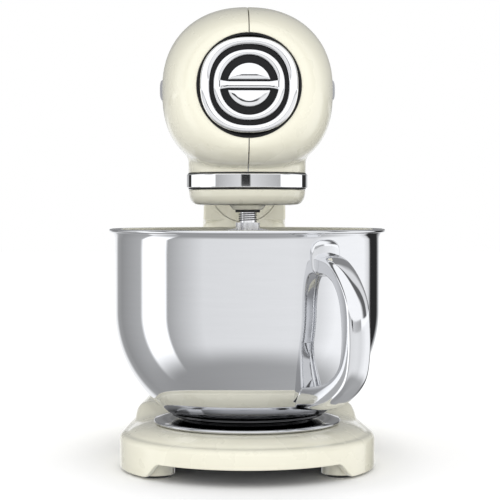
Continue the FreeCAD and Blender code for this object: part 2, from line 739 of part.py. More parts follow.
def bevel_pinion():
    gear = bevel_solid(BEVEL_PINION_TEETH, BEVEL_TEETH, math.pi / 2)
    gear = swing_to_y(gear)
    gear.translate(V(0, BOWL_Y, CAP_Z))
    hub = along_y(12.0, BOWL_Y + BEVEL_TEETH * BEVEL_MODULE / 2 - 0.5, BOWL_Y + 40)
    return joined([gear, hub]).cut(along_y(MAIN_SHAFT_R, BOWL_Y, BOWL_Y + 50))


def bevel_gear():
    gear = bevel_solid(BEVEL_TEETH, BEVEL_PINION_TEETH, math.pi / 2 + math.pi / BEVEL_TEETH)
    gear.rotate(V(0, 0, 0), V(0, 1, 0), 180)
    gear.translate(V(0, BOWL_Y, CAP_Z))
    large_end = CAP_Z - BEVEL_PINION_TEETH * BEVEL_MODULE / 2
    web = upright(26.5, large_end - 4, large_end + 0.5)
    hub = upright(12.0, 268, large_end)
    return joined([gear, web, hub]).cut(upright(PLANET_SHAFT_R, 260, 300))


def planetary_shaft():
    return upright(PLANET_SHAFT_R, 214, 289.6)


def shaft_nut():
    outline = []
    for corner in range(6):
        angle = math.radians(60 * corner)
        outline.append(V(9 * math.cos(angle), BOWL_Y + 9 * math.sin(angle), 289.6))
    return prism(outline, V(0, 0, 3.4))


def planetary_disc():
    disc = turned([(0, 212), (38, 211.8), (41.5, 212.6), (44.4, 214.6), (46.2, 217.6), (47, 221.5),
                   (47, 224.1), (38, 224.1), (38, 236), (0, 236)])
    boss = Part.makeCone(11.75, 14.5, 4.2, V(0, TOOL_Y, 208), V(0, 0, 1))
    body = joined([disc, boss])
    body = body.cut(upright(PLANET_SHAFT_R, 214, 240))
    body = body.cut(upright(11.0, 214, 240, 0, TOOL_Y))
    return body.cut(upright(7.0, 200, 230, 0, TOOL_Y))


def spindle_bearings():
    lower = sleeve(11.0, TOOL_R + RUNNING, 214, 220, 0, TOOL_Y)
    upper = sleeve(11.0, TOOL_R + RUNNING, 230, 236, 0, TOOL_Y)
    return group([lower, upper])


def spindle_seal():
    return joined([sleeve(9.75, 6.4, 206, 208, 0, TOOL_Y), sleeve(7.0, 6.4, 207, 212, 0, TOOL_Y)])


def tool_shaft():
    shaft = upright(TOOL_R, 178, 252, 0, TOOL_Y)
    return shaft.cut(Part.makeCylinder(2.0, 40, V(-20, TOOL_Y, 188), V(1, 0, 0)))


def drive_pin():
    return Part.makeCylinder(2.0, 18, V(-9, TOOL_Y, 188), V(1, 0, 0))


def shaft_spring():
    return coil(6.8, 0.5, 198.4, 205.9, 4, TOOL_Y)


def planet_pinion():
    outline = gear_outline(PLANET_TEETH, PLANET_MODULE, 0.8 * PLANET_MODULE, 1.25 * PLANET_MODULE, 0.15,
                           -math.pi / 2)
    gear = prism(outline, V(0, 0, 9.5))
    gear.translate(V(0, TOOL_Y, 240.5))
    return gear.cut(upright(TOOL_R, 230, 260, 0, TOOL_Y))


# ---- beater ----

def beater_outline(inset):
    points = []
    for step in range(40):
        angle = 2 * math.pi * step / 40
        cosine, sine = math.cos(angle), math.sin(angle)
        x = (58 - inset) * math.copysign(abs(cosine) ** 0.9, cosine)
        z = 123 + (71 - inset) * math.copysign(abs(sine) ** 0.9, sine)
        points.append(V(x, TOOL_Y - 3.5, z))
    curve = Part.BSplineCurve()
    curve.interpolate(points, PeriodicFlag=True)
    return Part.Face(Part.Wire([curve.toShape()])).extrude(V(0, 7, 0))


def flat_beater():
    """Flat frame with a spine and two slanted ribs a side, under a bayonet collar."""
    frame = beater_outline(0).cut(beater_outline(8))
    spine = block((-4, 4), (TOOL_Y - 3.5, TOOL_Y + 3.5), (55, 176))
    ribs = []
    for height, lean in ((96, 24), (138, -20)):
        rib = block((0, 70), (TOOL_Y - 2.5, TOOL_Y + 2.5), (height - 3, height + 3))
        rib.rotate(V(0, TOOL_Y, height), V(0, 1, 0), lean)
        ribs = ribs + [rib, mirrored(rib)]
    inside = [rib.common(beater_outline(4)) for rib in ribs]
    collar = turned([(0, 168), (6, 168), (9.5, 173), (9.5, 198), (0, 198)], TOOL_Y)
    body = joined([frame, spine, collar] + inside)
    body = body.cut(upright(TOOL_R + RUNNING, 173.8, 210, 0, TOOL_Y))
    room = block((-12, 12), (TOOL_Y - 2.3, TOOL_Y + 2.3), (182, 190.3))
    body = body.cut(room)
    for side in (0, 180):
        channel = Part.makeCylinder(12, 4.6, V(0, TOOL_Y, 182), V(0, 0, 1), 62)
        channel.rotate(V(0, TOOL_Y, 0), V(0, 0, 1), side)
        entry = block((0, 12), (TOOL_Y - 2.3, TOOL_Y + 2.3), (182, 200))
        entry.rotate(V(0, TOOL_Y, 0), V(0, 0, 1), side + 60)
        body = body.cut(channel).cut(entry)
    return body


# ---- speed control ----

def speed_lever():
    hub = along_y(6.0, LEVER_Y - 3, LEVER_Y + 3, 0, LEVER_Z).cut(along_y(2.5, 0, 300, 0, LEVER_Z))
    arm = block((-2, 2), (LEVER_Y - 2, LEVER_Y + 2), (LEVER_Z + 4, LEVER_Z + 44))
    arm = joined([hub, arm])
    arm.rotate(V(0, 0, LEVER_Z), V(0, 1, 0), -18)
    return arm


def lever_knob():
    knob = Part.makeSphere(5.0, V(0, LEVER_Y, LEVER_Z + 48))
    stem = upright(3.2, LEVER_Z + 42.5, LEVER_Z + 48, 0, LEVER_Y)
    knob = joined([knob, stem]).cut(block((-2, 2), (LEVER_Y - 2, LEVER_Y + 2), (LEVER_Z + 35, LEVER_Z + 44)))
    knob.rotate(V(0, 0, LEVER_Z), V(0, 1, 0), -18)
    return knob


def speed_switch():
    case = block((-14, 14), (LEVER_Y - 12, LEVER_Y - 4), (LEVER_Z - 14, LEVER_Z + 12))
    shaft = along_y(2.5 - RUNNING, LEVER_Y - 5, LEVER_Y + 5, 0, LEVER_Z)
    return joined([case, shaft])


def control_board():
    board = block((-30, 30), (BOWL_Y + 176, BOWL_Y + 178), (280, 306))
    parts = [block((-24, -10), (BOWL_Y + 178, BOWL_Y + 190), (284, 296)),
             block((-4, 6), (BOWL_Y + 178, BOWL_Y + 186), (284, 300)),
             along_y(5.0, BOWL_Y + 178, BOWL_Y + 192, 18, 292)]
    return joined([board] + parts)


# ---- bowl ----

def bowl_shell():
    """Spun sheet bowl: straight wall, elliptic lower part, flat floor and a rolled rim."""
    def side(thickness):
        radius = BOWL_R - thickness
        depth = BOWL_DEPTH - thickness
        floor = BOWL_FLOOR + thickness
        lowest = math.asin((BOWL_CURVE_Z - floor) / depth)
        points = []
        for step in range(9):
            angle = lowest * step / 8
            points.append(V(radius * math.cos(angle), BOWL_Y, BOWL_CURVE_Z - depth * math.sin(angle)))
        top = V(radius, BOWL_Y, 186.0)
        axis = V(0, BOWL_Y, floor)
        return top, axis, points

    outer_top, outer_axis, outer = side(0)
    inner_top, inner_axis, inner = side(BOWL_SHEET)
    lip_out = V(BOWL_R + 2.6, BOWL_Y, BOWL_RIM_Z)
    lip_in = V(BOWL_R + 2.0, BOWL_Y, BOWL_RIM_Z + 1.2)
    edges = [
        Part.LineSegment(outer_axis, outer[-1]).toShape(),
        smooth(list(reversed(outer))),
        Part.LineSegment(outer[0], outer_top).toShape(),
        Part.LineSegment(outer_top, lip_out).toShape(),
        Part.LineSegment(lip_out, lip_in).toShape(),
        Part.LineSegment(lip_in, inner_top).toShape(),
        Part.LineSegment(inner_top, inner[0]).toShape(),
        smooth(inner),
        Part.LineSegment(inner[-1], inner_axis).toShape(),
        Part.LineSegment(inner_axis, outer_axis).toShape(),
    ]
    sheet = Part.Face(Part.Wire(edges)).revolve(V(0, BOWL_Y, 0), V(0, 0, 1), 360)
    bead = Part.makeTorus(BOWL_RIM_R - 1.5, 1.5, V(0, BOWL_Y, BOWL_RIM_Z), V(0, 0, 1))
    return joined([sheet, bead])


def bowl_foot():
    ring = turned([(52, BOWL_FLOOR), (62, BOWL_FLOOR), (60.5, 42.8), (55, 41), (53.6, 40), (54.4, 39.4),
                   (74.8, 39.2), (PLATE_R, 38.4), (PLATE_R, 37.2), (74.8, 36.4), (52, 36.4)])
    tabs = [sector(53, 47.4, 36.6, 39.0, turn, 28) for turn in (30, 150, 270)]
    return joined([ring] + tabs)


def handle_outline():
    """Side view of the handle in its own plane: distance from the bowl axis, then height."""
    outer = [(105.0, 176.5), (123.0, 172.5), (138.5, 160.0), (149.5, 142.0), (152.7, 120.0), (152.5, 100.0),
             (147.5, 81.5), (133.5, 67.5), (113.0, 58.0), (80.0, 54.5)]
    inner = [(84.0, 72.5), (106.0, 75.5), (124.0, 81.5), (134.5, 91.0), (138.0, 103.0), (138.5, 121.0),
             (135.5, 140.0), (128.5, 153.0), (118.0, 159.5), (105.0, 161.0)]
    return outer, inner


def bowl_handle():
    outer, inner = handle_outline()
    base_y = BOWL_Y

    def lifted(outline):
        return [V(radius, base_y - HANDLE_HALF, height) for radius, height in outline]

    top = lifted(outer)
    under = lifted(inner)
    wire = Part.Wire([smooth(top), Part.LineSegment(top[-1], under[0]).toShape(), smooth(under),
                      Part.LineSegment(under[-1], top[0]).toShape()])
    grip = Part.Face(wire).extrude(V(0, 2 * HANDLE_HALF, 0))
    long_edges = [edge for edge in grip.Edges if edge.Length > 150]
    grip = grip.makeFillet(5.0, long_edges)
    tab = sleeve(BOWL_R + 2.2, BOWL_R - 1, 158, 185.5)
    tab = tab.common(block((90, 120), (base_y - 13, base_y + 13), (158, 185.5)))
    body = joined([grip, tab])
    body = body.cut(bowl_room())
    body.rotate(V(0, BOWL_Y, 0), V(0, 0, 1), HANDLE_TURN - 90)
    return largest(body)


def bowl_room():
    """Everything inside the bowl's outer surface, to trim the handle flush against it."""
    points = []
    for step in range(9):
        angle = math.radians(70) * step / 8
        points.append(V(BOWL_R * math.cos(angle), BOWL_Y, BOWL_CURVE_Z - BOWL_DEPTH * math.sin(angle)))
    top = V(BOWL_R, BOWL_Y, 230)
    edges = [smooth(points),
             Part.LineSegment(points[-1], V(0, BOWL_Y, points[-1].z)).toShape(),
             Part.LineSegment(V(0, BOWL_Y, points[-1].z), V(0, BOWL_Y, 230)).toShape(),
             Part.LineSegment(V(0, BOWL_Y, 230), top).toShape(),
             Part.LineSegment(top, points[0]).toShape()]
    return Part.Face(Part.Wire(edges)).revolve(V(0, BOWL_Y, 0), V(0, 0, 1), 360)


def main():
    left_shell, right_shell, trims = head_shells()
    nodes = {
        "stand_casting": stand_casting(),
        "bottom_cover": bottom_cover(),
        "cover_screws": cover_screws(),
        "rubber_feet": rubber_feet(),
        "bowl_seat": bowl_seat(),
        "cord_gland": cord_gland(),
        "hinge_pin": hinge_pin(),
        "release_bezel": release_bezel(),
        "release_button": release_button(),
        "release_rod": release_rod(),
        "release_spring": release_spring(),
        "tilt_switch": tilt_switch(),
        "head_shell_left": left_shell,
        "head_shell_right": right_shell,
        "head_trims": trims,
        "chrome_band": chrome_band(),
        "band_gaskets": band_gaskets(),
        "ring_gear": ring_gear(),
        "head_frame": head_frame(),
        "hinge_bushes": hinge_bushes(),
        "bearings": bearings(),
        "front_well": front_well(),
        "hub_housing": hub_housing(),
        "cap_dish": cap_dish(),
        "cap_ring": cap_ring(),
        "cap_grille": cap_grille(),
        "motor_bells": motor_bells(),
        "motor_can": motor_can(),
        "stator": stator(),
        "field_coils": field_coils(),
        "brush_holders": brush_holders(),
        "carbon_brushes": carbon_brushes(),
        "rotor_shaft": rotor_shaft(),
        "armature": armature(),
        "armature_windings": windings(),
        "commutator": rotor_part(9.0, BOWL_Y + 143, BOWL_Y + 154.5),
        "cooling_fan": cooling_fan(),
        "motor_pinion": motor_pinion(),
        "main_gear": main_gear(),
        "main_shaft": main_shaft(),
        "hub_socket": hub_socket(),
        "bevel_pinion": bevel_pinion(),
        "bevel_gear": bevel_gear(),
        "planetary_shaft": planetary_shaft(),
        "shaft_nut": shaft_nut(),
        "planetary_disc": planetary_disc(),
        "spindle_bearings": spindle_bearings(),
        "spindle_seal": spindle_seal(),
        "tool_shaft": tool_shaft(),
        "drive_pin": drive_pin(),
        "shaft_spring": shaft_spring(),
        "planet_pinion": planet_pinion(),
        "flat_beater": flat_beater(),
        "speed_lever": speed_lever(),
        "lever_knob": lever_knob(),
        "speed_switch": speed_switch(),
        "control_board": control_board(),
        "bowl_shell": bowl_shell(),
        "bowl_foot": bowl_foot(),
        "bowl_handle": bowl_handle(),
    }
    os.makedirs("parts", exist_ok=True)
    for name, shape in nodes.items():
        shape.exportStep("parts/" + name + ".step")


main()
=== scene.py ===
"""Looks of the tilt-head stand mixer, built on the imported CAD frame.

Shapes are worked out in millimetres in the CAD frame (+Z up, -Y front) and scaled to metres once,
in make_piece. Each visible CAD node that needs a finer surface is replaced by a piece made here.
"""
import json
import math

import bmesh
import bpy
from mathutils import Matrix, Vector

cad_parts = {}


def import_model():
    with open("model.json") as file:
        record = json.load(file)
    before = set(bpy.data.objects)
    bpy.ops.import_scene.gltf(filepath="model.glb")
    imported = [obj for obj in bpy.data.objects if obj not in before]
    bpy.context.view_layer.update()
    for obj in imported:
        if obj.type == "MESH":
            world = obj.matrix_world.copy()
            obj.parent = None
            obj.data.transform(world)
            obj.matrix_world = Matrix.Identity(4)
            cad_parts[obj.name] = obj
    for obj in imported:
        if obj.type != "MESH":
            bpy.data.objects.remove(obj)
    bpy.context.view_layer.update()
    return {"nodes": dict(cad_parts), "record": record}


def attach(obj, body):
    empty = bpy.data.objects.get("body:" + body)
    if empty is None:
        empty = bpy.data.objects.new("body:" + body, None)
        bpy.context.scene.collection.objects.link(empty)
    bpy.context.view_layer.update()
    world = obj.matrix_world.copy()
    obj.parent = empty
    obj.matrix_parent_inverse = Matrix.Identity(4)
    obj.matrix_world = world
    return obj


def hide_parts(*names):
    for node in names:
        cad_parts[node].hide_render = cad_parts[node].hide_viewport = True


MM = 0.001

# ---- driving dimensions, the same as the CAD source ----
BOWL_Y = -70.7
HINGE_Y = BOWL_Y + 165.0
HINGE_Z = 215.0
BASE_REAR = 204.5
BASE_R = 103.3
REAR_CORNER_R = 52.0
SIDE_TAPER = math.radians(4.0)
ARCH_TOP = 13.3
BASE_BOTTOM = 2.0
BASE_WALL = 5.0
FOOT_SPOTS = [(-72.0, BOWL_Y - 46.0), (72.0, BOWL_Y - 46.0), (-66.0, 158.0), (66.0, 158.0)]
GLAND_X = 46.0
GLAND_Z = 20.0
COLUMN_TOP = 212.0
COLUMN_FOOT = 34.0
EAR_IN = 26.5
EAR_OUT = 36.5
HEAD_FRONT = BOWL_Y - 85.0
HEAD_REAR = BOWL_Y + 245.0
CROWN_Y = BOWL_Y + 82.0
TAIL_Y = BOWL_Y + 40.0
HEAD_TOP = 375.6
HEAD_LOW = 239.0
HEAD_HALF = 68.0
UPPER_POWER = 2.22
LOWER_POWER = 2.56
CAP_Z = 302.0
CAP_SEAT = 41.0
TAIL_Z = 300.0
NECK_R = 47.4
NECK_LOW = 237.6
WELL_R = 39.7
SEAM = 0.35
BAND = (225.5, 236.5)
BAND_R = 48.8
TOOL_Y = BOWL_Y - 24.0
BOWL_R = 106.5
BOWL_RIM_R = 111.5
BOWL_RIM_Z = 191.4
BOWL_CURVE_Z = 127.0
BOWL_DEPTH = 102.0
BOWL_FLOOR = 44.5
BOWL_SHEET = 1.2
PLATE_R = 75.7
HANDLE_TURN = math.radians(32.5)
HANDLE_HALF = 9.75
HANDLE_CROWN = 5.5
PAD_HALF = (13.0, 13.75)
PAD_Z = 171.75
# Painted shade in the foot ring's neck runs between these two radii.
FOOT_NECK_SHADE = (0.056, 0.074)      # metres from the bowl's axis, dark end and bright end

# ---- studio: (degrees round from the camera's side, brightness) of the panels that the metal mirrors ----
FLOOR_HALF = 6
FLOOR_GLOW = 0.16
GLOW_FADE = (0.10, 0.17)        # metres from the middle, where the glow starts and is full
GLOW_DEPTH_SCALE = 0.62
SHELL_RADIUS = 4.0
LENS_MM = 110.5
CAMERA_PLACE = (-0.022, -1.3137, 0.2089)
CAMERA_DOWN = 1.54
CAMERA_TURN = -1.12
LOW_PANELS = [(-180, 1.0), (-158, 1.0), (-150, 0.40), (-138, 0.34), (-104, 0.52), (-100, 1.5), (-74, 1.5),
              (-72, 0.46), (-38, 0.90), (38, 0.96), (62, 0.90), (80, 1.15), (118, 1.15), (127, 0.85),
              (131, 0.03), (150, 0.03), (156, 0.45), (166, 1.0), (180, 1.0)]
BAND_PANELS = [(-180, 1.0), (-160, 0.5), (-149, 0.45), (-147, 0.03), (-134, 0.03), (-132, 1.3), (-64, 1.3),
               (-62, 0.46), (-13, 0.75), (-11, 0.03), (4, 0.03), (6, 0.75), (64, 0.46), (66, 1.3), (126, 1.3),
               (128, 0.03), (148, 0.03), (150, 0.5), (180, 1.0)]
HIGH_PANELS = [(-180, 0.30), (-130, 0.30), (-112, 0.9), (-92, 0.9), (-88, 0.15), (-74, 0.15), (-68, 1.2),
               (0, 1.2), (68, 1.2), (74, 0.15), (88, 0.15), (92, 0.9), (112, 0.9), (130, 0.30), (180, 0.30)]
UNDER_PANELS = [(-180, 0.42), (-90, 0.36), (0, 0.42), (90, 0.48), (180, 0.42)]


# ---- mesh helpers ----

def make_piece(name, verts, faces, body, material, replaced=()):
    """One mesh object from points in millimetres, riding a CAD body."""
    mesh = bpy.data.meshes.new(name)
    mesh.from_pydata([(x * MM, y * MM, z * MM) for x, y, z in verts], [], faces)
    clean = bmesh.new()
    clean.from_mesh(mesh)
    bmesh.ops.remove_doubles(clean, verts=clean.verts, dist=0.00001)
    bmesh.ops.dissolve_degenerate(clean, edges=clean.edges, dist=0.000005)
    loose = [vert for vert in clean.verts if not vert.link_faces]
    bmesh.ops.delete(clean, geom=loose, context="VERTS")
    bmesh.ops.recalc_face_normals(clean, faces=clean.faces)
    clean.to_mesh(mesh)
    clean.free()
    for polygon in mesh.polygons:
        polygon.use_smooth = True
    piece = bpy.data.objects.new(name, mesh)
    bpy.context.scene.collection.objects.link(piece)
    piece.data.materials.append(material)
    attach(piece, body)
    if replaced:
        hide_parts(*replaced)
    return piece


def weighted(piece):
    """Shade large flat faces flat and keep the small rounded edges between them soft."""
    modifier = piece.modifiers.new("shading", "WEIGHTED_NORMAL")
    modifier.keep_sharp = True
    modifier.weight = 80
    return piece


class Shape:
    """Growing list of points and faces, so that one piece can hold several closed surfaces."""

    def __init__(self):
        self.verts = []
        self.faces = []

    def rings(self, rings, closed=True, caps=(False, False)):
        """Skin between successive rings that all have the same number of points."""
        start = len(self.verts)
        count = len(rings[0])
        for ring in rings:
            self.verts.extend(ring)
        last = count if closed else count - 1
        for row in range(len(rings) - 1):
            low = start + row * count
            for step in range(last):
                following = (step + 1) % count
                self.faces.append((low + step, low + following, low + count + following, low + count + step))
        if caps[0]:
            self.faces.append(tuple(range(start + count - 1, start - 1, -1)))
        if caps[1]:
            top = start + (len(rings) - 1) * count
            self.faces.append(tuple(range(top, top + count)))
        return self

    def lathe(self, profile, y=BOWL_Y, x=0.0, steps=144):
        """Turn (radius, height) points about an upright axis."""
        rings = []
        for radius, height in profile:
            ring = []
            for step in range(steps):
                angle = 2 * math.pi * step / steps
                ring.append((x + radius * math.cos(angle), y + radius * math.sin(angle), height))
            rings.append(ring)
        return self.rings(rings)


def softened(points, radius, steps=5, closed=False):
    """Round each inner corner of a flat polyline with a small curve."""
    rounded = []
    count = len(points)
    for index, point in enumerate(points):
        if not closed and index in (0, count - 1):
            rounded.append(tuple(point))
            continue
        here = Vector(point)
        before = Vector(points[index - 1]) - here
        after = Vector(points[(index + 1) % count]) - here
        reach = min(radius, 0.45 * before.length, 0.45 * after.length)
        if reach < 0.02 or before.angle(after) > 3.0:
            rounded.append(tuple(point))
            continue
        enter = here + before.normalized() * reach
        leave = here + after.normalized() * reach
        for step in range(steps + 1):
            share = step / steps
            curve = enter * (1 - share) ** 2 + here * 2 * share * (1 - share) + leave * share ** 2
            rounded.append(tuple(curve))
    return rounded


def arc(centre, radius, start, end, steps):
    """Points on a circle in a flat section, angles in degrees."""
    points = []
    for step in range(steps + 1):
        angle = math.radians(start + (end - start) * step / steps)
        points.append((centre[0] + radius * math.cos(angle), centre[1] + radius * math.sin(angle)))
    return points


def curved(points, steps):
    """Catmull-Rom curve through the points, a few samples between each two."""
    samples = []
    last = len(points) - 1
    for index in range(last):
        a = Vector(points[max(0, index - 1)])
        b = Vector(points[index])
        c = Vector(points[index + 1])
        d = Vector(points[min(last, index + 2)])
        for step in range(steps):
            t = step / steps
            spot = b * 2 + (c - a) * t + (a * 2 - b * 5 + c * 4 - d) * t * t
            spot = spot + (b * 3 - a - c * 3 + d) * t * t * t
            samples.append(spot * 0.5)
    samples.append(Vector(points[last]))
    return samples


def superellipse(half_x, half_z, power, steps, start=0.0, turn=2 * math.pi, ends=False, lower=None):
    """Points round a superellipse; lower is the power below its middle, if that differs."""
    points = []
    above = power
    for step in range(steps + (1 if ends else 0)):
        angle = start + turn * step / steps
        cosine = math.cos(angle)
        sine = math.sin(angle)
        power = lower if lower and sine < 0 else above
        points.append((half_x * math.copysign(abs(cosine) ** (2 / power), cosine),
                       half_z * math.copysign(abs(sine) ** (2 / power), sine)))
    return points


def smoothstep(low, high, value):
    share = min(1.0, max(0.0, (value - low) / (high - low)))
    return share * share * (3 - 2 * share)


def mix(a, b, share):
    return a + (b - a) * share


# ---- materials ----

def node_material(name):
    material = bpy.data.materials.new(name)
    material.use_nodes = True
    tree = material.node_tree
    shader = tree.nodes["Principled BSDF"]
    return material, tree, shader


def noise(tree, scale, detail=3.0, stretch=(1, 1, 1)):
    """Noise in the object's own coordinates, which are metres."""
    place = tree.nodes.new("ShaderNodeTexCoord")
    mapping = tree.nodes.new("ShaderNodeMapping")
    mapping.inputs["Scale"].default_value = stretch
    texture = tree.nodes.new("ShaderNodeTexNoise")
    texture.inputs["Scale"].default_value = scale
    texture.inputs["Detail"].default_value = detail
    tree.links.new(place.outputs["Object"], mapping.inputs["Vector"])
    tree.links.new(mapping.outputs["Vector"], texture.inputs["Vector"])
    return texture


def vary_colour(tree, shader, dark, light, scale, detail=3.0, stretch=(1, 1, 1)):
    texture = noise(tree, scale, detail, stretch)
    ramp = tree.nodes.new("ShaderNodeValToRGB")
    ramp.color_ramp.elements[0].position = 0.3
    ramp.color_ramp.elements[0].color = (*dark, 1)
    ramp.color_ramp.elements[1].position = 0.7
    ramp.color_ramp.elements[1].color = (*light, 1)
    tree.links.new(texture.outputs["Fac"], ramp.inputs["Fac"])
    tree.links.new(ramp.outputs["Color"], shader.inputs["Base Color"])


def vary_roughness(tree, shader, low, high, scale, stretch=(1, 1, 1)):
    texture = noise(tree, scale, 4.0, stretch)
    spread = tree.nodes.new("ShaderNodeMapRange")
    spread.inputs["From Min"].default_value = 0.3
    spread.inputs["From Max"].default_value = 0.7
    spread.inputs["To Min"].default_value = low
    spread.inputs["To Max"].default_value = high
    tree.links.new(texture.outputs["Fac"], spread.inputs["Value"])
    tree.links.new(spread.outputs["Result"], shader.inputs["Roughness"])


def add_bump(tree, shader, scale, depth, detail=2.0, stretch=(1, 1, 1)):
    """Fine relief, with its depth in metres."""
    texture = noise(tree, scale, detail, stretch)
    bump = tree.nodes.new("ShaderNodeBump")
    bump.inputs["Strength"].default_value = 1.0
    bump.inputs["Distance"].default_value = depth
    tree.links.new(texture.outputs["Fac"], bump.inputs["Height"])
    tree.links.new(bump.outputs["Normal"], shader.inputs["Normal"])


def enamel():
    """Cream stoved enamel: even colour, high gloss, very faint orange peel."""
    material, tree, shader = node_material("cream_enamel")
    vary_colour(tree, shader, (0.805, 0.782, 0.645), (0.825, 0.802, 0.668), 9.0)
    vary_roughness(tree, shader, 0.24, 0.32, 30.0)
    add_bump(tree, shader, 420.0, 0.000006)
    shader.inputs["Coat Weight"].default_value = 0.6
    shader.inputs["Coat Roughness"].default_value = 0.05
    shader.inputs["Coat IOR"].default_value = 1.45
    return material


def metal(name, dark, light, low, high, scale=60.0, stretch=(1, 1, 1), bump=0.0, bump_scale=300.0):
    material, tree, shader = node_material(name)
    shader.inputs["Metallic"].default_value = 1.0
    vary_colour(tree, shader, dark, light, scale, 3.0, stretch)
    vary_roughness(tree, shader, low, high, scale * 2, stretch)
    if bump:
        add_bump(tree, shader, bump_scale, bump, 3.0, stretch)
    return material


def dull(name, dark, light, low, high, bump=0.00002, scale=600.0, shine=0.5):
    material, tree, shader = node_material(name)
    shader.inputs["Specular IOR Level"].default_value = shine
    vary_colour(tree, shader, dark, light, 40.0)
    vary_roughness(tree, shader, low, high, 80.0)
    add_bump(tree, shader, scale, bump)
    return material


def foot_steel_painted_shade():
    """Polished steel with painted shade in the foot ring's neck: its colour is painted darker towards the
    bowl's axis and crossed by painted reflection bands.
    """
    material, tree, shader = node_material("foot_ring_steel_painted_shade")
    shader.inputs["Metallic"].default_value = 1.0
    vary_roughness(tree, shader, 0.05, 0.07, 60.0)
    place = tree.nodes.new("ShaderNodeTexCoord")
    shift = tree.nodes.new("ShaderNodeVectorMath")
    shift.operation = "MULTIPLY_ADD"
    shift.inputs[1].default_value = (1, 1, 0)
    shift.inputs[2].default_value = (0, -BOWL_Y * MM, 0)
    tree.links.new(place.outputs["Object"], shift.inputs[0])
    reach = tree.nodes.new("ShaderNodeVectorMath")
    reach.operation = "LENGTH"
    tree.links.new(shift.outputs["Vector"], reach.inputs[0])
    spread = tree.nodes.new("ShaderNodeMapRange")
    spread.inputs["From Min"].default_value, spread.inputs["From Max"].default_value = FOOT_NECK_SHADE
    tree.links.new(reach.outputs["Value"], spread.inputs["Value"])
    # Painted shade: near black at the bowl's axis, steel grey at the outer end.
    shade_and_reflection_tone = tree.nodes.new("ShaderNodeValToRGB")
    shade_and_reflection_tone.color_ramp.elements[0].color = (0.035, 0.035, 0.037, 1)
    shade_and_reflection_tone.color_ramp.elements[1].color = (0.62, 0.625, 0.64, 1)
    # Painted reflection: lighter and darker bands between the two ends.
    for position, level in ((0.30, 0.05), (0.42, 0.30), (0.62, 0.16), (0.80, 0.45)):
        stop = shade_and_reflection_tone.color_ramp.elements.new(position)
        stop.color = (level, level, level * 1.02, 1)
    tree.links.new(spread.outputs["Result"], shade_and_reflection_tone.inputs["Fac"])
    tree.links.new(shade_and_reflection_tone.outputs["Color"], shader.inputs["Base Color"])
    return material


def make_materials():
    """One finished material for each slot of the record, and a satin one for the head's side trims."""
    return {
        "enamel": enamel(),
        "chrome": metal("chrome_plate", (0.87, 0.87, 0.88), (0.90, 0.90, 0.91), 0.03, 0.05),
        "trim": metal("satin_trim", (0.30, 0.30, 0.31), (0.42, 0.42, 0.43), 0.12, 0.18),
        "polished_steel": metal("polished_stainless", (0.765, 0.77, 0.785), (0.78, 0.785, 0.80), 0.05, 0.058,
                                25.0, (1, 1, 12)),
        "steel": metal("machined_steel", (0.46, 0.47, 0.49), (0.58, 0.59, 0.61), 0.22, 0.34, 120.0,
                       (1, 6, 1), 0.000004, 900.0),
        "spring_steel": metal("spring_wire", (0.24, 0.24, 0.25), (0.34, 0.34, 0.35), 0.22, 0.32, 200.0),
        "die_cast": metal("die_cast_alloy", (0.54, 0.55, 0.57), (0.66, 0.67, 0.69), 0.38, 0.52, 80.0,
                          (1, 1, 1), 0.00002, 500.0),
        "cast_aluminium": metal("polished_cast_aluminium", (0.70, 0.70, 0.72), (0.80, 0.80, 0.82), 0.16,
                                0.26, 70.0, (1, 1, 1), 0.000006, 400.0),
        "bronze": metal("sintered_bronze", (0.55, 0.38, 0.18), (0.68, 0.50, 0.26), 0.30, 0.45, 300.0),
        "copper": metal("lacquered_copper", (0.62, 0.27, 0.13), (0.75, 0.38, 0.20), 0.22, 0.34, 400.0,
                        (1, 8, 1), 0.00003, 700.0),
        "rubber": dull("black_rubber", (0.012, 0.012, 0.012), (0.024, 0.024, 0.024), 0.55, 0.72),
        "dark_plastic": dull("black_plastic", (0.006, 0.006, 0.007), (0.011, 0.011, 0.012), 0.22, 0.32,
                             0.000006, 600.0, 0.2),
        "carbon": dull("pressed_carbon", (0.03, 0.03, 0.03), (0.06, 0.06, 0.06), 0.5, 0.65),
        "board": dull("circuit_board", (0.010, 0.07, 0.035), (0.018, 0.10, 0.05), 0.28, 0.40),
    }


# ---- head ----

def swell(share, power):
    share = min(1.0, max(0.0, share))
    return (1 - (1 - share) ** power) ** (1 / power)


def head_profile(y):
    """Half width, top and bottom of the head at one place along it."""
    ahead = y - HEAD_FRONT
    behind = HEAD_REAR - y
    half = CAP_SEAT + (HEAD_HALF - CAP_SEAT) * swell(ahead / 75, 2)
    top = CAP_Z + CAP_SEAT + (HEAD_TOP - CAP_Z - CAP_SEAT) * swell(ahead / (CROWN_Y - HEAD_FRONT), 2)
    low = CAP_Z - CAP_SEAT - (CAP_Z - CAP_SEAT - HEAD_LOW) * swell(ahead / 60, 2)
    if y > TAIL_Y:
        half = HEAD_HALF * swell(behind / (HEAD_REAR - TAIL_Y), 2.6)
        low = TAIL_Z - (TAIL_Z - HEAD_LOW) * swell(behind / (HEAD_REAR - TAIL_Y), 3)
    if y > CROWN_Y:
        top = TAIL_Z + (HEAD_TOP - TAIL_Z) * swell(behind / (HEAD_REAR - CROWN_Y), 2.4)
    share = min(1.0, max(0.0, ahead / 40))
    return half, top, low, (2 + (UPPER_POWER - 2) * share, 2 + (LOWER_POWER - 2) * share)


def underside(x, y):
    """Height of the head's lower surface above one point."""
    half, top, low, powers = head_profile(y)
    share = min(1.0, abs(x) / half)
    return (top + low) / 2 - (top - low) / 2 * (1 - share ** powers[1]) ** (1 / powers[1])


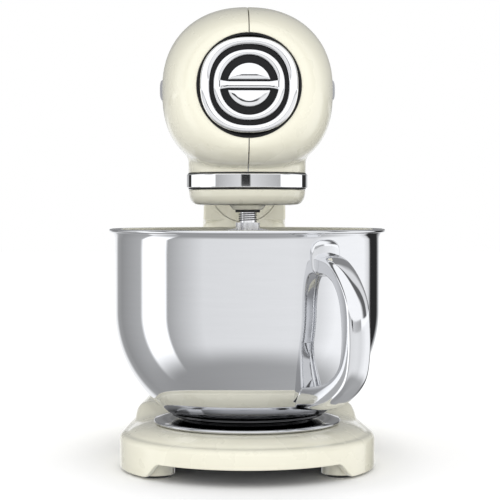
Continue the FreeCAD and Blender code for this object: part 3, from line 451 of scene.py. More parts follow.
def half_section(half, top, low, powers, y, steps=72):
    """Right half of the head's section from bottom to top, with its seam edges rounded inwards."""
    middle = (top + low) / 2
    rise = (top - low) / 2
    arch = superellipse(half, rise, powers[0], steps, -math.pi / 2, math.pi, True, powers[1])
    points = []
    for x, z in arch[1:-1]:
        points.append((max(x, SEAM + 0.9), y, middle + z))
    lowest = middle - rise
    highest = middle + rise
    hem = [(SEAM, 2.4), (SEAM, 1.2), (SEAM, 0.5), (SEAM + 0.15, 0.15), (SEAM + 0.5, 0.0)]
    below = [(x, y, lowest + drop) for x, drop in hem]
    above = [(x, y, highest - drop) for x, drop in reversed(hem)]
    return below + points + above


def head_stations():
    """Places along the head, close together where it curves most."""
    nose = [HEAD_FRONT + 75 * (1 - math.cos(math.radians(turn))) for turn in range(4, 90, 3)]
    middle = [BOWL_Y - 10 + step * 5 for step in range(1, 10)]
    tail = [TAIL_Y + (HEAD_REAR - TAIL_Y) * math.sin(math.radians(turn)) for turn in range(2, 89, 2)]
    return nose + middle + tail


def head_half_rings():
    """Rings of one half shell: the turned-in mouth round the cap, then the body to its tail."""
    rings = []
    for depth in (9.0, 4.0, 1.6, 0.8):
        rings.append(half_section(WELL_R, CAP_Z + WELL_R, CAP_Z - WELL_R, (2.0, 2.0), HEAD_FRONT + depth))
    for turn in range(0, 91, 30):
        angle = math.radians(turn)
        edge = WELL_R + 0.65 - 0.65 * math.cos(angle)
        lip = HEAD_FRONT + 0.65 * (1 - math.sin(angle))
        rings.append(half_section(edge, CAP_Z + edge, CAP_Z - edge, (2.0, 2.0), lip))
    for y in head_stations():
        rings.append(half_section(*head_profile(y), y))
    rings.append(half_section(0.9, TAIL_Z + 3.0, TAIL_Z - 3.0, (2.0, 2.0), HEAD_REAR))
    return rings


def neck_strip(shape, side):
    """Neck wall with a small cove where it meets the underside of the head."""
    columns = []
    for step in range(97):
        turn = math.pi * step / 96
        x = NECK_R * math.sin(turn)
        y = BOWL_Y - NECK_R * math.cos(turn)
        edge = max(x, SEAM)
        meet = underside(edge, y)
        reach = min(5.0, 0.8 * (meet - NECK_LOW))
        outer = NECK_R + reach
        out_x = max(outer * math.sin(turn), SEAM)
        out_y = BOWL_Y - outer * math.cos(turn)
        foot = (edge, y, meet - reach)
        rim = (out_x, out_y, underside(out_x, out_y))
        inner = ((NECK_R - 2.4) * math.sin(turn), BOWL_Y - (NECK_R - 2.4) * math.cos(turn))
        trim = ((NECK_R - 0.5) * math.sin(turn), BOWL_Y - (NECK_R - 0.5) * math.cos(turn))
        column = [(max(inner[0], SEAM), inner[1], meet), (max(inner[0], SEAM), inner[1], NECK_LOW),
                  (max(trim[0], SEAM), trim[1], NECK_LOW), (edge, y, NECK_LOW + 0.5)]
        for part in range(9):
            share = part / 8
            column.append(tuple(
                foot[axis] * (1 - share) ** 2
                + (edge, y, meet)[axis] * 2 * share * (1 - share)
                + rim[axis] * share ** 2 for axis in range(3)))
        columns.append([(side * px, py, pz) for px, py, pz in column])
    shape.rings(columns, closed=False)


def open_underside(piece, half_x):
    """Take away the faces inside the neck and where the hinge lug comes through."""
    edit = bmesh.new()
    edit.from_mesh(piece.data)
    gone = []
    for face in edit.faces:
        middle = face.calc_center_median() / MM
        radius = math.hypot(middle.x, middle.y - BOWL_Y)
        in_neck = radius < NECK_R - 3.6 and middle.z < 262
        by_lug = abs(middle.x) < half_x and abs(middle.y - HINGE_Y) < 19.4 and middle.z < 262
        if in_neck or by_lug:
            gone.append(face)
    bmesh.ops.delete(edit, geom=gone, context="FACES")
    edit.to_mesh(piece.data)
    edit.free()


def head_half(side, name, node, finish):
    shape = Shape()
    rings = []
    for ring in head_half_rings():
        rings.append([(side * x, y, z) for x, y, z in ring])
    shape.rings(rings, closed=False)
    neck_strip(shape, side)
    piece = make_piece(name, shape.verts, shape.faces, "head", finish["enamel"], [node])
    open_underside(piece, 26.4)
    return piece


def neck_band(finish):
    low, high = BAND
    profile = softened([(44.5, low), (BAND_R, low), (BAND_R, high), (44.5, high)], 0.8)
    shape = Shape().lathe(profile)
    weighted(make_piece("neck_band", shape.verts, shape.faces, "head", finish["chrome"],
                        ["chrome_band"]))
    shape = Shape()
    shape.lathe(softened([(44.5, high), (47.7, high), (47.7, high + 1.0), (44.5, high + 1.0)], 0.3, 3))
    shape.lathe(softened([(44.5, low - 0.9), (47.4, low - 0.9), (47.4, low), (44.5, low)], 0.3, 3))
    make_piece("neck_gaskets", shape.verts, shape.faces, "head", finish["rubber"],
               ["band_gaskets"])


def disc_skin(finish):
    """Cream planetary disc with its rolled edge and the boss over the tool shaft."""
    edge = curved([(36.0, 211.8), (41.5, 212.5), (44.6, 214.8), (46.4, 218.4), (47.0, 222.4)], 8)
    profile = [(7.2, 211.8)] + [tuple(point) for point in edge]
    profile = profile + [(47.0, 223.6), (46.6, 224.1), (40.0, 224.1), (38.2, 225.0), (38.0, 235.5),
                         (37.5, 236.0), (7.2, 236.0)]
    shape = Shape()
    shape.lathe(profile)
    boss = softened([(7.1, 212.5), (7.1, 208.0), (11.75, 208.0), (14.5, 211.9), (17.5, 211.95)], 1.2)
    shape.lathe(boss, TOOL_Y, 0.0, 72)
    return make_piece("planetary_cover", shape.verts, shape.faces, "planetary", finish["enamel"],
                      ["planetary_disc"])


# ---- front cap ----

def oval_ring(shape, outer, inner, profile, steps=160):
    """Ring across the Y axis between two superellipses; profile holds (share out to in, y)."""
    wide = superellipse(*outer, steps)
    tight = superellipse(*inner, steps)
    rings = []
    for share, y in profile:
        ring = []
        for (ox, oz), (ix, iz) in zip(wide, tight):
            ring.append((mix(ox, ix, share), y, CAP_Z + mix(oz, iz, share)))
        rings.append(ring)
    rings.append(rings[0])
    shape.rings(rings)


def outer_ring(finish):
    """Broad chrome ring, gently crowned, with rounded edges."""
    front = HEAD_FRONT - 5.0
    profile = [(0.0, HEAD_FRONT + 0.2), (0.0, front + 2.6), (0.02, front + 1.7), (0.07, front + 1.0),
               (0.16, front + 0.5), (0.32, front + 0.15), (0.5, front), (0.68, front + 0.12),
               (0.82, front + 0.4), (0.92, front + 0.8), (0.98, front + 1.4), (1.0, front + 2.0),
               (1.0, front + 3.9), (0.4, front + 4.0), (0.36, HEAD_FRONT + 0.1)]
    shape = Shape()
    oval_ring(shape, (37.1, 36.0, 2.3), (29.8, 30.2, 2.3), profile)
    return make_piece("cap_outer_ring", shape.verts, shape.faces, "front_cap", finish["chrome"],
                      ["cap_ring"])


def half_disc(shape, radius, cut, side):
    """Half disc above or below the cross bar, with a softly crowned face."""
    start = math.asin(cut / radius)
    outline = []
    for step in range(33):
        angle = start + (math.pi - 2 * start) * step / 32
        outline.append((radius * math.cos(angle), radius * math.sin(angle)))
    for step in range(1, 16):
        outline.append((mix(outline[32][0], outline[0][0], step / 16), cut))
    middle = (0.0, (radius + cut) / 2)
    rings = []
    for share, y in ((1.0, -1.0), (1.0, -2.9), (0.985, -3.3), (0.95, -3.6), (0.85, -3.8), (0.6, -3.95),
                     (0.3, -4.0), (0.01, -4.0)):
        ring = []
        for x, z in outline:
            spot_z = mix(middle[1], z, share)
            ring.append((mix(middle[0], x, share), HEAD_FRONT + y, CAP_Z + side * spot_z))
        rings.append(ring)
    shape.rings(rings, caps=(True, True))


def inner_ring(finish):
    """Inner chrome ring with the cross bar and the two half discs."""
    shape = Shape()
    front = HEAD_FRONT - 4.5
    profile = [(0.0, HEAD_FRONT - 1.0), (0.0, front + 1.0), (0.06, front + 0.45), (0.2, front + 0.1),
               (0.5, front), (0.8, front + 0.1), (0.94, front + 0.45), (1.0, front + 1.0),
               (1.0, HEAD_FRONT - 1.0)]
    oval_ring(shape, (26.9, 26.5, 2.2), (21.9, 22.4, 2.0), profile)
    rings = []
    section = softened([(2.5, HEAD_FRONT - 1.0), (2.5, front), (-2.5, front), (-2.5, HEAD_FRONT - 1.0)],
                       0.8, 4, True)
    for step in range(13):
        x = -22.6 + 45.2 * step / 12
        flare = 1.0 + 0.5 * max(0.0, abs(x) / 22.6 - 0.72) / 0.28
        rings.append([(x, y, CAP_Z + z * flare) for z, y in section])
    shape.rings(rings, caps=(True, True))
    half_disc(shape, 16.5, 4.0, 1)
    half_disc(shape, 16.5, 4.0, -1)
    return make_piece("cap_inner_ring", shape.verts, shape.faces, "front_cap", finish["chrome"],
                      ["cap_grille"])


# ---- bowl ----

def bowl_wall(height):
    """Outer radius of the bowl at a height."""
    if height >= BOWL_CURVE_Z:
        return BOWL_R
    drop = min(1.0, (BOWL_CURVE_Z - height) / BOWL_DEPTH)
    return BOWL_R * math.sqrt(1 - drop * drop)


def bowl(finish):
    def curve(thickness):
        depth = BOWL_DEPTH - thickness
        lowest = math.asin((BOWL_CURVE_Z - BOWL_FLOOR - thickness) / depth)
        points = []
        for step in range(41):
            angle = lowest * (1 - step / 40)
            points.append(((BOWL_R - thickness) * math.cos(angle), BOWL_CURVE_Z - depth * math.sin(angle)))
        return points

    outer = [(0.02, BOWL_FLOOR)] + [(radius * 0.5, BOWL_FLOOR) for radius in (40, 80, 118)] + curve(0.0)
    outer = outer + [(BOWL_R, 150.0), (BOWL_R, 175.0), (BOWL_R, 185.0), (BOWL_R + 0.3, 186.6),
                     (BOWL_R + 1.2, 188.6), (BOWL_R + 2.0, 189.9)]
    bead = arc((BOWL_RIM_R - 1.5, BOWL_RIM_Z), 1.5, -150, 150, 20)
    inner = [(BOWL_R + 1.0, 190.6), (BOWL_R + 0.1, 188.8), (BOWL_R - 0.9, 186.2),
             (BOWL_R - BOWL_SHEET, 184.5), (BOWL_R - BOWL_SHEET, 170.0), (BOWL_R - BOWL_SHEET, 148.0)]
    inside = list(reversed(curve(BOWL_SHEET)))
    floor = [(radius, BOWL_FLOOR + BOWL_SHEET) for radius in (58, 40, 20, 0.02)]
    shape = Shape().lathe(outer + bead + inner + inside + floor, steps=256)
    return make_piece("bowl_body", shape.verts, shape.faces, "bowl",
                      finish["polished_steel"], ["bowl_shell"])


def bowl_ring(finish):
    """Foot ring: a neck under the bowl and a wide flat lip."""
    profile = [(50.0, 44.4), (59.5, 44.4), (61.6, 44.2), (62.0, 43.8), (61.4, 43.2), (59.6, 42.4),
               (56.8, 41.6), (54.6, 40.8), (53.7, 40.2), (53.9, 39.7), (54.8, 39.5), (62.0, 39.35),
               (70.0, 39.25), (74.6, 39.1), (75.5, 38.7), (PLATE_R, 38.0), (75.6, 37.1), (75.0, 36.5),
               (72.0, 36.4), (52.0, 36.4), (51.6, 36.8), (51.2, 40.0)]
    shape = Shape().lathe(profile + [profile[0]], steps=220)
    # Its material has painted shade and painted reflection bands in the neck.
    return make_piece("bowl_foot_ring", shape.verts, shape.faces, "bowl", foot_steel_painted_shade(),
                      ["bowl_foot"])


def handle_section(depth):
    """Half the handle's section as (across, inwards): crowned back, rolled lip and sunk channel."""
    back = superellipse(HANDLE_HALF, HANDLE_CROWN, 2.4, 14, -math.pi / 2, math.pi / 2, True)
    points = [(x, HANDLE_CROWN + z) for x, z in back]
    points = points + [(HANDLE_HALF, depth - 3.0), (HANDLE_HALF - 0.1, depth - 1.4),
                       (HANDLE_HALF - 0.6, depth - 0.4), (HANDLE_HALF - 1.5, depth),
                       (HANDLE_HALF - 2.4, depth - 0.3),
                       (HANDLE_HALF - 2.9, depth - 1.2), (HANDLE_HALF - 3.1, depth - 3.0),
                       (HANDLE_HALF - 3.9, depth - 4.4), (HANDLE_HALF - 5.6, depth - 5.0), (0.0, depth - 5.0)]
    mirror = [(-x, z) for x, z in reversed(points[1:-1])]
    return points + mirror


def handle(finish):
    outer = [(105.0, 176.5), (123.0, 172.5), (138.5, 160.0), (149.5, 142.0), (152.7, 120.0), (152.5, 100.0),
             (147.5, 81.5), (133.5, 67.5), (113.0, 58.0), (80.0, 54.5)]
    inner = [(105.0, 161.0), (118.0, 159.5), (128.5, 153.0), (135.5, 140.0), (138.5, 121.0), (138.0, 103.0),
             (134.5, 91.0), (124.0, 81.5), (106.0, 75.5), (84.0, 72.5)]
    direction = (math.sin(HANDLE_TURN), -math.cos(HANDLE_TURN))
    sideways = (math.cos(HANDLE_TURN), math.sin(HANDLE_TURN))
    rings = []
    for far, near in zip(curved(outer, 8), curved(inner, 8)):
        span = near - far
        ring = []
        for across, deep in handle_section(span.length):
            spot = far + span * (deep / span.length)
            reach = math.hypot(spot.x, across)
            wall = bowl_wall(spot.y) - 0.5
            grow = wall / reach if reach < wall else 1.0
            along, wide = spot.x * grow, across * grow
            ring.append((direction[0] * along + sideways[0] * wide,
                         BOWL_Y + direction[1] * along + sideways[1] * wide, spot.y))
        rings.append(ring)
    shape = Shape().rings(rings, caps=(True, True))
    pad = superellipse(*PAD_HALF, 3.2, 72)
    rings = []
    for share, height in ((1.0, -0.4), (1.0, 1.2), (0.985, 1.7), (0.955, 2.05), (0.9, 2.2), (0.6, 2.2),
                          (0.02, 2.2)):
        ring = []
        for x, z in pad:
            angle = HANDLE_TURN + x * share / BOWL_R
            radius = BOWL_R + height
            ring.append((radius * math.sin(angle), BOWL_Y - radius * math.cos(angle), PAD_Z + z * share))
        rings.append(ring)
    shape.rings(rings, caps=(False, True))
    return make_piece("bowl_side_handle", shape.verts, shape.faces, "bowl",
                      finish["polished_steel"], ["bowl_handle"])


# ---- stand ----

def base_outline(count=720):
    """Plan of the base as points with their outward directions, evenly spaced."""
    side = Vector((math.cos(SIDE_TAPER), math.sin(SIDE_TAPER)))
    corner_y = BASE_REAR - REAR_CORNER_R
    corner_x = (BASE_R - REAR_CORNER_R - side.y * (corner_y - BOWL_Y)) / side.x
    centre = Vector((corner_x, corner_y))
    bowl_axis = Vector((0, BOWL_Y))
    half = []
    for step in range(401):
        angle = math.radians(-90 + 94 * step / 400)
        outward = Vector((math.cos(angle), math.sin(angle)))
        half.append((bowl_axis + outward * BASE_R, outward))
    start = half[-1][0]
    end = centre + side * REAR_CORNER_R
    for step in range(1, 400):
        half.append((start.lerp(end, step / 400), side))
    for step in range(401):
        angle = math.radians(4 + 86 * step / 400)
        outward = Vector((math.cos(angle), math.sin(angle)))
        half.append((centre + outward * REAR_CORNER_R, outward))
    heel = half[-1][0]
    for step in range(1, 201):
        half.append((heel.lerp(Vector((0, heel.y)), step / 200), Vector((0, 1))))
    lengths = [0.0]
    for first, second in zip(half, half[1:]):
        lengths.append(lengths[-1] + (second[0] - first[0]).length)
    right = []
    index = 0
    for step in range(count // 2 + 1):
        goal = lengths[-1] * step / (count // 2)
        while lengths[index + 1] < goal and index < len(lengths) - 2:
            index += 1
        share = (goal - lengths[index]) / (lengths[index + 1] - lengths[index])
        right.append((half[index][0].lerp(half[index + 1][0], share),
                      half[index][1].lerp(half[index + 1][1], share).normalized()))
    left = [(Vector((-spot.x, spot.y)), Vector((-out.x, out.y))) for spot, out in reversed(right[1:-1])]
    return right + left


def ramp_height(offset, width):
    """Height of an arch's edge at a distance from its middle."""
    rise = smoothstep(width + 8.5, width - 3.5, offset)
    return BASE_BOTTOM + (ARCH_TOP - BASE_BOTTOM) * rise


def skirt_bottom(x, y):
    """Height of the skirt's lower edge: four feet with arches between them."""
    if y < BOWL_Y - 30:
        return ramp_height(abs(x), 73.0)
    if y > 160:
        return ramp_height(abs(x), 46.0)
    return ramp_height(abs(y - 50), 56.0)


def base_rings():
    """Insets and heights of the base's surface, in front and behind, from the floor up."""
    fillet = [(4.5 - 4.5 * math.cos(math.radians(turn)), 23.9 + 4.5 * math.sin(math.radians(turn)))
              for turn in range(0, 91, 15)]
    dome = curved([(4.5, 28.4), (7.0, 29.1), (10.3, 31.2), (17.3, 34.1), (25.3, 35.6), (32.0, 36.0),
                   (40.0, 36.0)], 4)
    wall = [(4.5, 28.4), (4.3, 28.9), (4.1, 30.0), (4.0, 32.0)]
    shoulder = [(13.0 - 9.0 * math.cos(math.radians(turn)), 33.0 + 9.0 * math.sin(math.radians(turn)))
                for turn in range(0, 91, 6)]
    flat = [(13.0 + 27.0 * step / 5, 42.0) for step in range(1, 6)]
    return fillet, [tuple(point) for point in dome], wall + shoulder + flat


def base_surface(shape):
    outline = base_outline()
    fillet, front, rear = base_rings()
    rings = []
    for inset, lift, fixed in ((BASE_WALL, 0.0, 21.0), (BASE_WALL, 1.0, None), (4.6, 0.2, None),
                               (4.0, 0.0, None), (1.0, 0.0, None), (0.35, 0.15, None), (0.06, 0.5, None),
                               (0.0, 1.2, None)):
        ring = []
        for spot, out in outline:
            place = spot - out * inset
            height = fixed if fixed else skirt_bottom(spot.x, spot.y) + lift
            ring.append((place.x, place.y, height))
        rings.append(ring)
    for inset, height in fillet:
        rings.append([((spot - out * inset).x, (spot - out * inset).y, height) for spot, out in outline])
    for (front_in, front_z), (rear_in, rear_z) in zip(front[1:], rear[1:]):
        ring = []
        for spot, out in outline:
            behind = smoothstep(BOWL_Y + 35, BOWL_Y + 85, spot.y)
            place = spot - out * mix(front_in, rear_in, behind)
            ring.append((place.x, place.y, mix(front_z, rear_z, behind)))
        rings.append(ring)
    last = rings[-1]
    for share in (0.3, 0.6, 0.85, 1.0):
        ring = []
        for x, y, z in last:
            spine = min(120.0, max(BOWL_Y, y))
            ring.append((mix(x, 0.0, share), mix(y, spine, share), z))
        rings.append(ring)
    shape.rings(rings)


def column_ring(height, inset=0.0, steps=160):
    fall = (COLUMN_TOP - height) / (COLUMN_TOP - COLUMN_FOOT)
    half = 36.5 + 12.0 * fall + 36.0 * fall ** 5 - inset
    front = BOWL_Y + 128.0 - 12.0 * fall - 28.0 * fall ** 4 + inset
    rear = BOWL_Y + 200.0 + 36.0 * fall + 30.0 * fall ** 4 - inset
    ring = []
    for x, y in superellipse(half, (rear - front) / 2, 2 / 0.72, steps):
        ring.append((x, (front + rear) / 2 + y, height))
    return ring


def column_surface(shape):
    heights = [COLUMN_FOOT + (COLUMN_TOP - 3 - COLUMN_FOOT) * step / 44 for step in range(45)]
    rings = [column_ring(height) for height in heights]
    for turn in range(15, 91, 15):
        angle = math.radians(turn)
        rings.append(column_ring(COLUMN_TOP - 3 + 3 * math.sin(angle), 3 * (1 - math.cos(angle))))
    shape.rings(rings, caps=(True, True))


def brow_outline():
    """Side outline of the column's top about the hinge, as (towards the rear, up)."""
    top = curved([(-36.2, -6.0), (-35.8, 6.0), (-33.0, 14.0), (-28.0, 18.0), (-20.0, 20.5), (-8.0, 21.5),
                  (8.0, 20.5), (16.0, 15.0), (34.0, -5.0)], 6)
    return [tuple(point) for point in top] + [(34.0, -16.0), (10.0, -22.0), (-14.0, -22.0), (-36.2, -16.0)]


def inset_outline(outline, depth):
    """The same closed outline, drawn in by a depth along its normals."""
    moved = []
    count = len(outline)
    for index, (y, z) in enumerate(outline):
        ahead = Vector(outline[(index + 1) % count]) - Vector(outline[index - 1])
        ahead.normalize()
        moved.append((y + ahead.y * depth, z - ahead.x * depth))
    return moved


def rounded_ends(half, radius):
    """Places along X with how far the outline draws in there, so that both ends have round edges."""
    left = []
    for turn in range(0, 91, 15):
        angle = math.radians(turn)
        left.append((-half + radius - radius * math.sin(angle), radius - radius * math.cos(angle)))
    left.reverse()
    return left + [(-x, depth) for x, depth in reversed(left)]


def brow_surface(shape):
    outline = brow_outline()
    skins = []
    for x, depth in rounded_ends(EAR_OUT, 2.5):
        skins.append([(x, HINGE_Y + y, HINGE_Z + z) for y, z in inset_outline(outline, depth)])
    shape.rings(skins, caps=(True, True))


def cutter(name, verts, faces):
    """Closed mesh used once to carve a piece."""
    mesh = bpy.data.meshes.new(name)
    mesh.from_pydata([(x * MM, y * MM, z * MM) for x, y, z in verts], [], faces)
    tidy = bmesh.new()
    tidy.from_mesh(mesh)
    bmesh.ops.recalc_face_normals(tidy, faces=tidy.faces)
    tidy.to_mesh(mesh)
    tidy.free()
    tool = bpy.data.objects.new(name, mesh)
    bpy.context.scene.collection.objects.link(tool)
    return tool


def carve(piece, tool, operation="DIFFERENCE"):
    """Apply a boolean with the tool and take the tool away."""
    modifier = piece.modifiers.new("carve", "BOOLEAN")
    modifier.operation = operation
    modifier.solver = "EXACT"
    modifier.object = tool
    bpy.context.view_layer.update()
    graph = bpy.context.evaluated_depsgraph_get()
    result = bpy.data.meshes.new_from_object(piece.evaluated_get(graph))
    piece.modifiers.remove(modifier)
    piece.data = result
    bpy.data.objects.remove(tool)


def crease(piece, limit=32.0):
    """Mark the edges that turn by more than the limit as sharp."""
    edit = bmesh.new()
    edit.from_mesh(piece.data)
    for edge in edit.edges:
        turn = edge.calc_face_angle(0.0)
        edge.smooth = turn < math.radians(limit)
    for face in edit.faces:
        face.smooth = True
    edit.to_mesh(piece.data)
    edit.free()


def lug_trough():
    """Room between the ears for the head's hinge lug as it swings back, as a closed mesh."""
    outline = [(20.0 * math.cos(math.radians(turn)), 20.0 * math.sin(math.radians(turn)))
               for turn in range(180, 313, 6)]
    outline = outline + [(58.0, 25.3), (58.0, 70.0), (-20.0, 70.0)]
    shape = Shape()
    shape.rings([[(x, HINGE_Y + y, HINGE_Z + z) for y, z in outline] for x in (-EAR_IN, EAR_IN)],
                caps=(True, True))
    return cutter("lug_trough", shape.verts, shape.faces)


def lug_seam():
    """Narrow arched groove in the column's face that marks the hinge lug."""
    shape = Shape()
    rings = []
    for step in range(49):
        angle = math.radians(-180 + 180 * step / 48)
        ring = []
        for radius, y in ((30.0, -40.0), (30.65, -40.0), (30.65, -33.4), (30.0, -33.4)):
            ring.append((radius * math.cos(angle), HINGE_Y + y, 227.3 + radius * math.sin(angle)))
        rings.append(ring)
    shape.rings(rings, caps=(True, True))
    return cutter("lug_seam", shape.verts, shape.faces)


def column(finish):
    shape = Shape()
    column_surface(shape)
    piece = make_piece("stand_column", shape.verts, shape.faces, "base", finish["enamel"])
    shape = Shape()
    brow_surface(shape)
    carve(piece, cutter("brow", shape.verts, shape.faces), "UNION")
    carve(piece, lug_trough())
    carve(piece, lug_seam())
    crease(piece)
    edges = piece.modifiers.new("edges", "BEVEL")
    edges.width = 0.0009
    edges.segments = 3
    edges.limit_method = "ANGLE"
    edges.angle_limit = math.radians(50)
    edges.harden_normals = True
    return piece


def saddle(finish):
    """Fairing under the head that meets the column's top along a fine parting line."""
    lower = [(-35.0, 15.0)] + [tuple(point) for point in curved(
        [(-33.4, 16.9), (-28.2, 19.6), (-20.0, 21.9), (-8.0, 23.2), (0.0, 23.7), (5.7, 23.0)], 5)]
    outline = lower + [(7.5, 24.5), (9.0, 34.0), (-35.0, 34.0)]
    outline.reverse()
    outline = softened(outline, 3.0, 5, True)
    shape = Shape()
    skins = []
    for x, depth in rounded_ends(EAR_OUT, 1.0):
        skins.append([(x, HINGE_Y + y, HINGE_Z + z) for y, z in inset_outline(outline, depth)])
    shape.rings(skins, caps=(True, True))
    piece = make_piece("hinge_fairing", shape.verts, shape.faces, "head", finish["enamel"])
    crease(piece, 40.0)
    return piece


def stand(finish):
    shape = Shape()
    base_surface(shape)
    for x, y in FOOT_SPOTS:
        profile = softened([(14.5, 24.0), (14.5, BASE_BOTTOM), (11.9, BASE_BOTTOM), (11.9, 7.0)], 0.8)
        shape.lathe(profile, y, x, 48)
    return make_piece("stand_body", shape.verts, shape.faces, "base", finish["enamel"],
                      ["stand_casting"])


def gland(finish):
    """Flanged rubber bush where the cord would leave the base."""
    profile = [(3.6, 203.0), (3.7, 203.8), (4.3, 204.3), (7.4, 204.3), (8.2, 203.9), (8.5, 203.0),
               (8.5, 200.0), (6.4, 199.5), (6.4, 190.5), (3.6, 190.5), (3.6, 203.0)]
    rings = []
    for radius, y in profile:
        ring = []
        for step in range(72):
            angle = 2 * math.pi * step / 72
            ring.append((GLAND_X + radius * math.cos(angle), y, GLAND_Z + radius * math.sin(angle)))
        rings.append(ring)
    shape = Shape().rings(rings)
    return make_piece("cord_bush", shape.verts, shape.faces, "base", finish["rubber"],
                      ["cord_gland"])


# ---- light, floor and camera ----

def stage_floor():
    """Pale floor with a faint glow that fades out under the mixer, which deepens its shadow there.

    Glossy rays don't see it: polished metal mirrors the studio shell instead.
    """
    mesh = bpy.data.meshes.new("studio_floor")
    mesh.from_pydata([(x * FLOOR_HALF, y * FLOOR_HALF, 0) for x, y in ((-1, -1), (1, -1), (1, 1), (-1, 1))],
                     [], [(0, 1, 2, 3)])
    floor = bpy.data.objects.new("studio_floor", mesh)
    bpy.context.scene.collection.objects.link(floor)
    material, tree, shader = node_material("studio_white")
    vary_colour(tree, shader, (0.93, 0.93, 0.93), (0.95, 0.95, 0.95), 2.0)
    shader.inputs["Roughness"].default_value = 0.9
    shader.inputs["Specular IOR Level"].default_value = 0.0
    shader.inputs["Emission Color"].default_value = (1, 1, 1, 1)
    place = tree.nodes.new("ShaderNodeTexCoord")
    squeeze = tree.nodes.new("ShaderNodeVectorMath")
    squeeze.operation = "MULTIPLY"
    squeeze.inputs[1].default_value = (1, GLOW_DEPTH_SCALE, 0)
    tree.links.new(place.outputs["Object"], squeeze.inputs[0])
    reach = tree.nodes.new("ShaderNodeVectorMath")
    reach.operation = "LENGTH"
    tree.links.new(squeeze.outputs["Vector"], reach.inputs[0])
    fade = tree.nodes.new("ShaderNodeMapRange")
    fade.interpolation_type = "SMOOTHSTEP"
    fade.inputs["From Min"].default_value, fade.inputs["From Max"].default_value = GLOW_FADE
    fade.inputs["To Min"].default_value = 0.0
    fade.inputs["To Max"].default_value = FLOOR_GLOW
    tree.links.new(reach.outputs["Value"], fade.inputs["Value"])
    tree.links.new(fade.outputs["Result"], shader.inputs["Emission Strength"])
    floor.data.materials.append(material)
    floor.visible_glossy = False


def area_light(name, place, target, size, power):
    lamp = bpy.data.lights.new(name, "AREA")
    lamp.shape = "RECTANGLE"
    lamp.size, lamp.size_y = size
    lamp.energy = power
    light = bpy.data.objects.new(name, lamp)
    light.location = place
    light.rotation_euler = (Vector(target) - Vector(place)).to_track_quat("-Z", "Y").to_euler()
    light.visible_glossy = False
    bpy.context.scene.collection.objects.link(light)


def azimuth_ramp(tree, share, panels):
    """Brightness by direction round the room, from (degrees from the camera's side, level) stops."""
    ramp = tree.nodes.new("ShaderNodeValToRGB")
    bands = ramp.color_ramp
    bands.elements[0].position = 0.0
    bands.elements[1].position = 1.0
    for azimuth, _ in panels[1:-1]:
        bands.elements.new((azimuth + 180) / 360)
    for element, (azimuth, level) in zip(bands.elements, panels):
        element.position = (azimuth + 180) / 360
        element.color = (level * 0.985, level * 0.995, level * 1.01, 1)
    tree.links.new(share.outputs["Result"], ramp.inputs["Fac"])
    return ramp


def maths(tree, operation, first, second=None, value=None):
    node = tree.nodes.new("ShaderNodeMath")
    node.operation = operation
    tree.links.new(first, node.inputs[0])
    if second is not None:
        tree.links.new(second, node.inputs[1])
    if value is not None:
        node.inputs[1].default_value = value
    return node.outputs["Value"]


def blend_by(tree, value, low, high, first, second):
    """Colour that goes from first to second as a value rises from low to high."""
    share = tree.nodes.new("ShaderNodeMapRange")
    share.interpolation_type = "SMOOTHSTEP"
    share.inputs["From Min"].default_value = low
    share.inputs["From Max"].default_value = high
    tree.links.new(value, share.inputs["Value"])
    both = tree.nodes.new("ShaderNodeMix")
    both.data_type = "RGBA"
    tree.links.new(share.outputs["Result"], both.inputs["Factor"])
    tree.links.new(first, both.inputs["A"])
    tree.links.new(second, both.inputs["B"])
    return both.outputs["Result"]


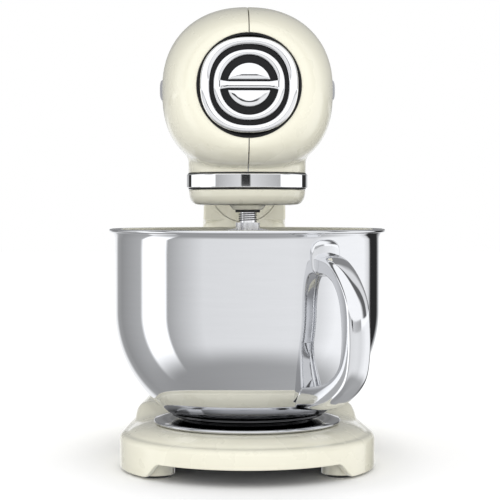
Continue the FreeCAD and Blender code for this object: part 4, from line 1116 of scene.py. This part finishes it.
def studio_shell():
    """Room of soft panels that only mirrors see: what the polished metal shows."""
    mesh = bpy.data.meshes.new("studio_shell")
    ball = bmesh.new()
    bmesh.ops.create_uvsphere(ball, u_segments=96, v_segments=48, radius=SHELL_RADIUS)
    ball.to_mesh(mesh)
    ball.free()
    shell = bpy.data.objects.new("studio_shell", mesh)
    shell.location = (0, BOWL_Y * MM, 0.15)
    bpy.context.scene.collection.objects.link(shell)
    material = bpy.data.materials.new("studio_panels")
    material.use_nodes = True
    tree = material.node_tree
    tree.nodes.remove(tree.nodes["Principled BSDF"])
    place = tree.nodes.new("ShaderNodeTexCoord")
    split = tree.nodes.new("ShaderNodeSeparateXYZ")
    tree.links.new(place.outputs["Object"], split.inputs["Vector"])
    toward = maths(tree, "MULTIPLY", split.outputs["Y"], value=-1.0)
    turn = maths(tree, "ARCTAN2", split.outputs["X"], toward)
    share = tree.nodes.new("ShaderNodeMapRange")
    share.inputs["From Min"].default_value = -math.pi
    share.inputs["From Max"].default_value = math.pi
    tree.links.new(turn, share.inputs["Value"])
    low = azimuth_ramp(tree, share, LOW_PANELS)
    middle = azimuth_ramp(tree, share, BAND_PANELS)
    high = azimuth_ramp(tree, share, HIGH_PANELS)
    under = azimuth_ramp(tree, share, UNDER_PANELS)
    height = split.outputs["Z"]
    colour = blend_by(tree, height, -3.0, -1.7, under.outputs["Color"], low.outputs["Color"])
    colour = blend_by(tree, height, 0.085, 0.105, colour, middle.outputs["Color"])
    colour = blend_by(tree, height, 0.24, 0.32, colour, high.outputs["Color"])
    glow = tree.nodes.new("ShaderNodeEmission")
    tree.links.new(colour, glow.inputs["Color"])
    tree.links.new(glow.outputs["Emission"], tree.nodes["Material Output"].inputs["Surface"])
    mesh.materials.append(material)
    shell.visible_camera = False
    shell.visible_diffuse = False
    shell.visible_shadow = False


def studio_world():
    world = bpy.data.worlds.new("studio")
    world.use_nodes = True
    bpy.context.scene.world = world
    back = world.node_tree.nodes["Background"]
    back.inputs["Color"].default_value = (1, 1, 1, 1)
    back.inputs["Strength"].default_value = 1.0


def camera():
    lens = bpy.data.cameras.new("camera")
    lens.lens = LENS_MM
    lens.sensor_width = 36.0
    lens.clip_end = 30.0
    view = bpy.data.objects.new("camera", lens)
    view.location = CAMERA_PLACE
    view.rotation_euler = (math.radians(90 - CAMERA_DOWN), 0, math.radians(CAMERA_TURN))
    bpy.context.scene.collection.objects.link(view)
    bpy.context.scene.camera = view


def main():
    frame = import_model()
    finish = make_materials()
    slots = {row["node"]: row["material_slot"] for row in frame["record"]["subparts"]}
    for name, node in frame["nodes"].items():
        node.data.materials.clear()
        node.data.materials.append(finish[slots[name]])
    frame["nodes"]["head_trims"].data.materials[0] = finish["trim"]
    stand(finish)
    column(finish)
    saddle(finish)
    gland(finish)
    head_half(-1, "head_half_left", "head_shell_left", finish)
    head_half(1, "head_half_right", "head_shell_right", finish)
    neck_band(finish)
    disc_skin(finish)
    outer_ring(finish)
    inner_ring(finish)
    bowl(finish)
    bowl_ring(finish)
    handle(finish)
    stage_floor()
    studio_shell()
    studio_world()
    area_light("key", (-1.2, -1.4, 1.8), (0, 0, 0.2), (1.2, 1.2), 1.0)
    area_light("low_fill", (0, -1.15, 0.04), (0, -0.05, 0.32), (2.2, 0.7), 5.5)
    camera()
    bpy.context.scene.view_settings.view_transform = "Standard"


main()
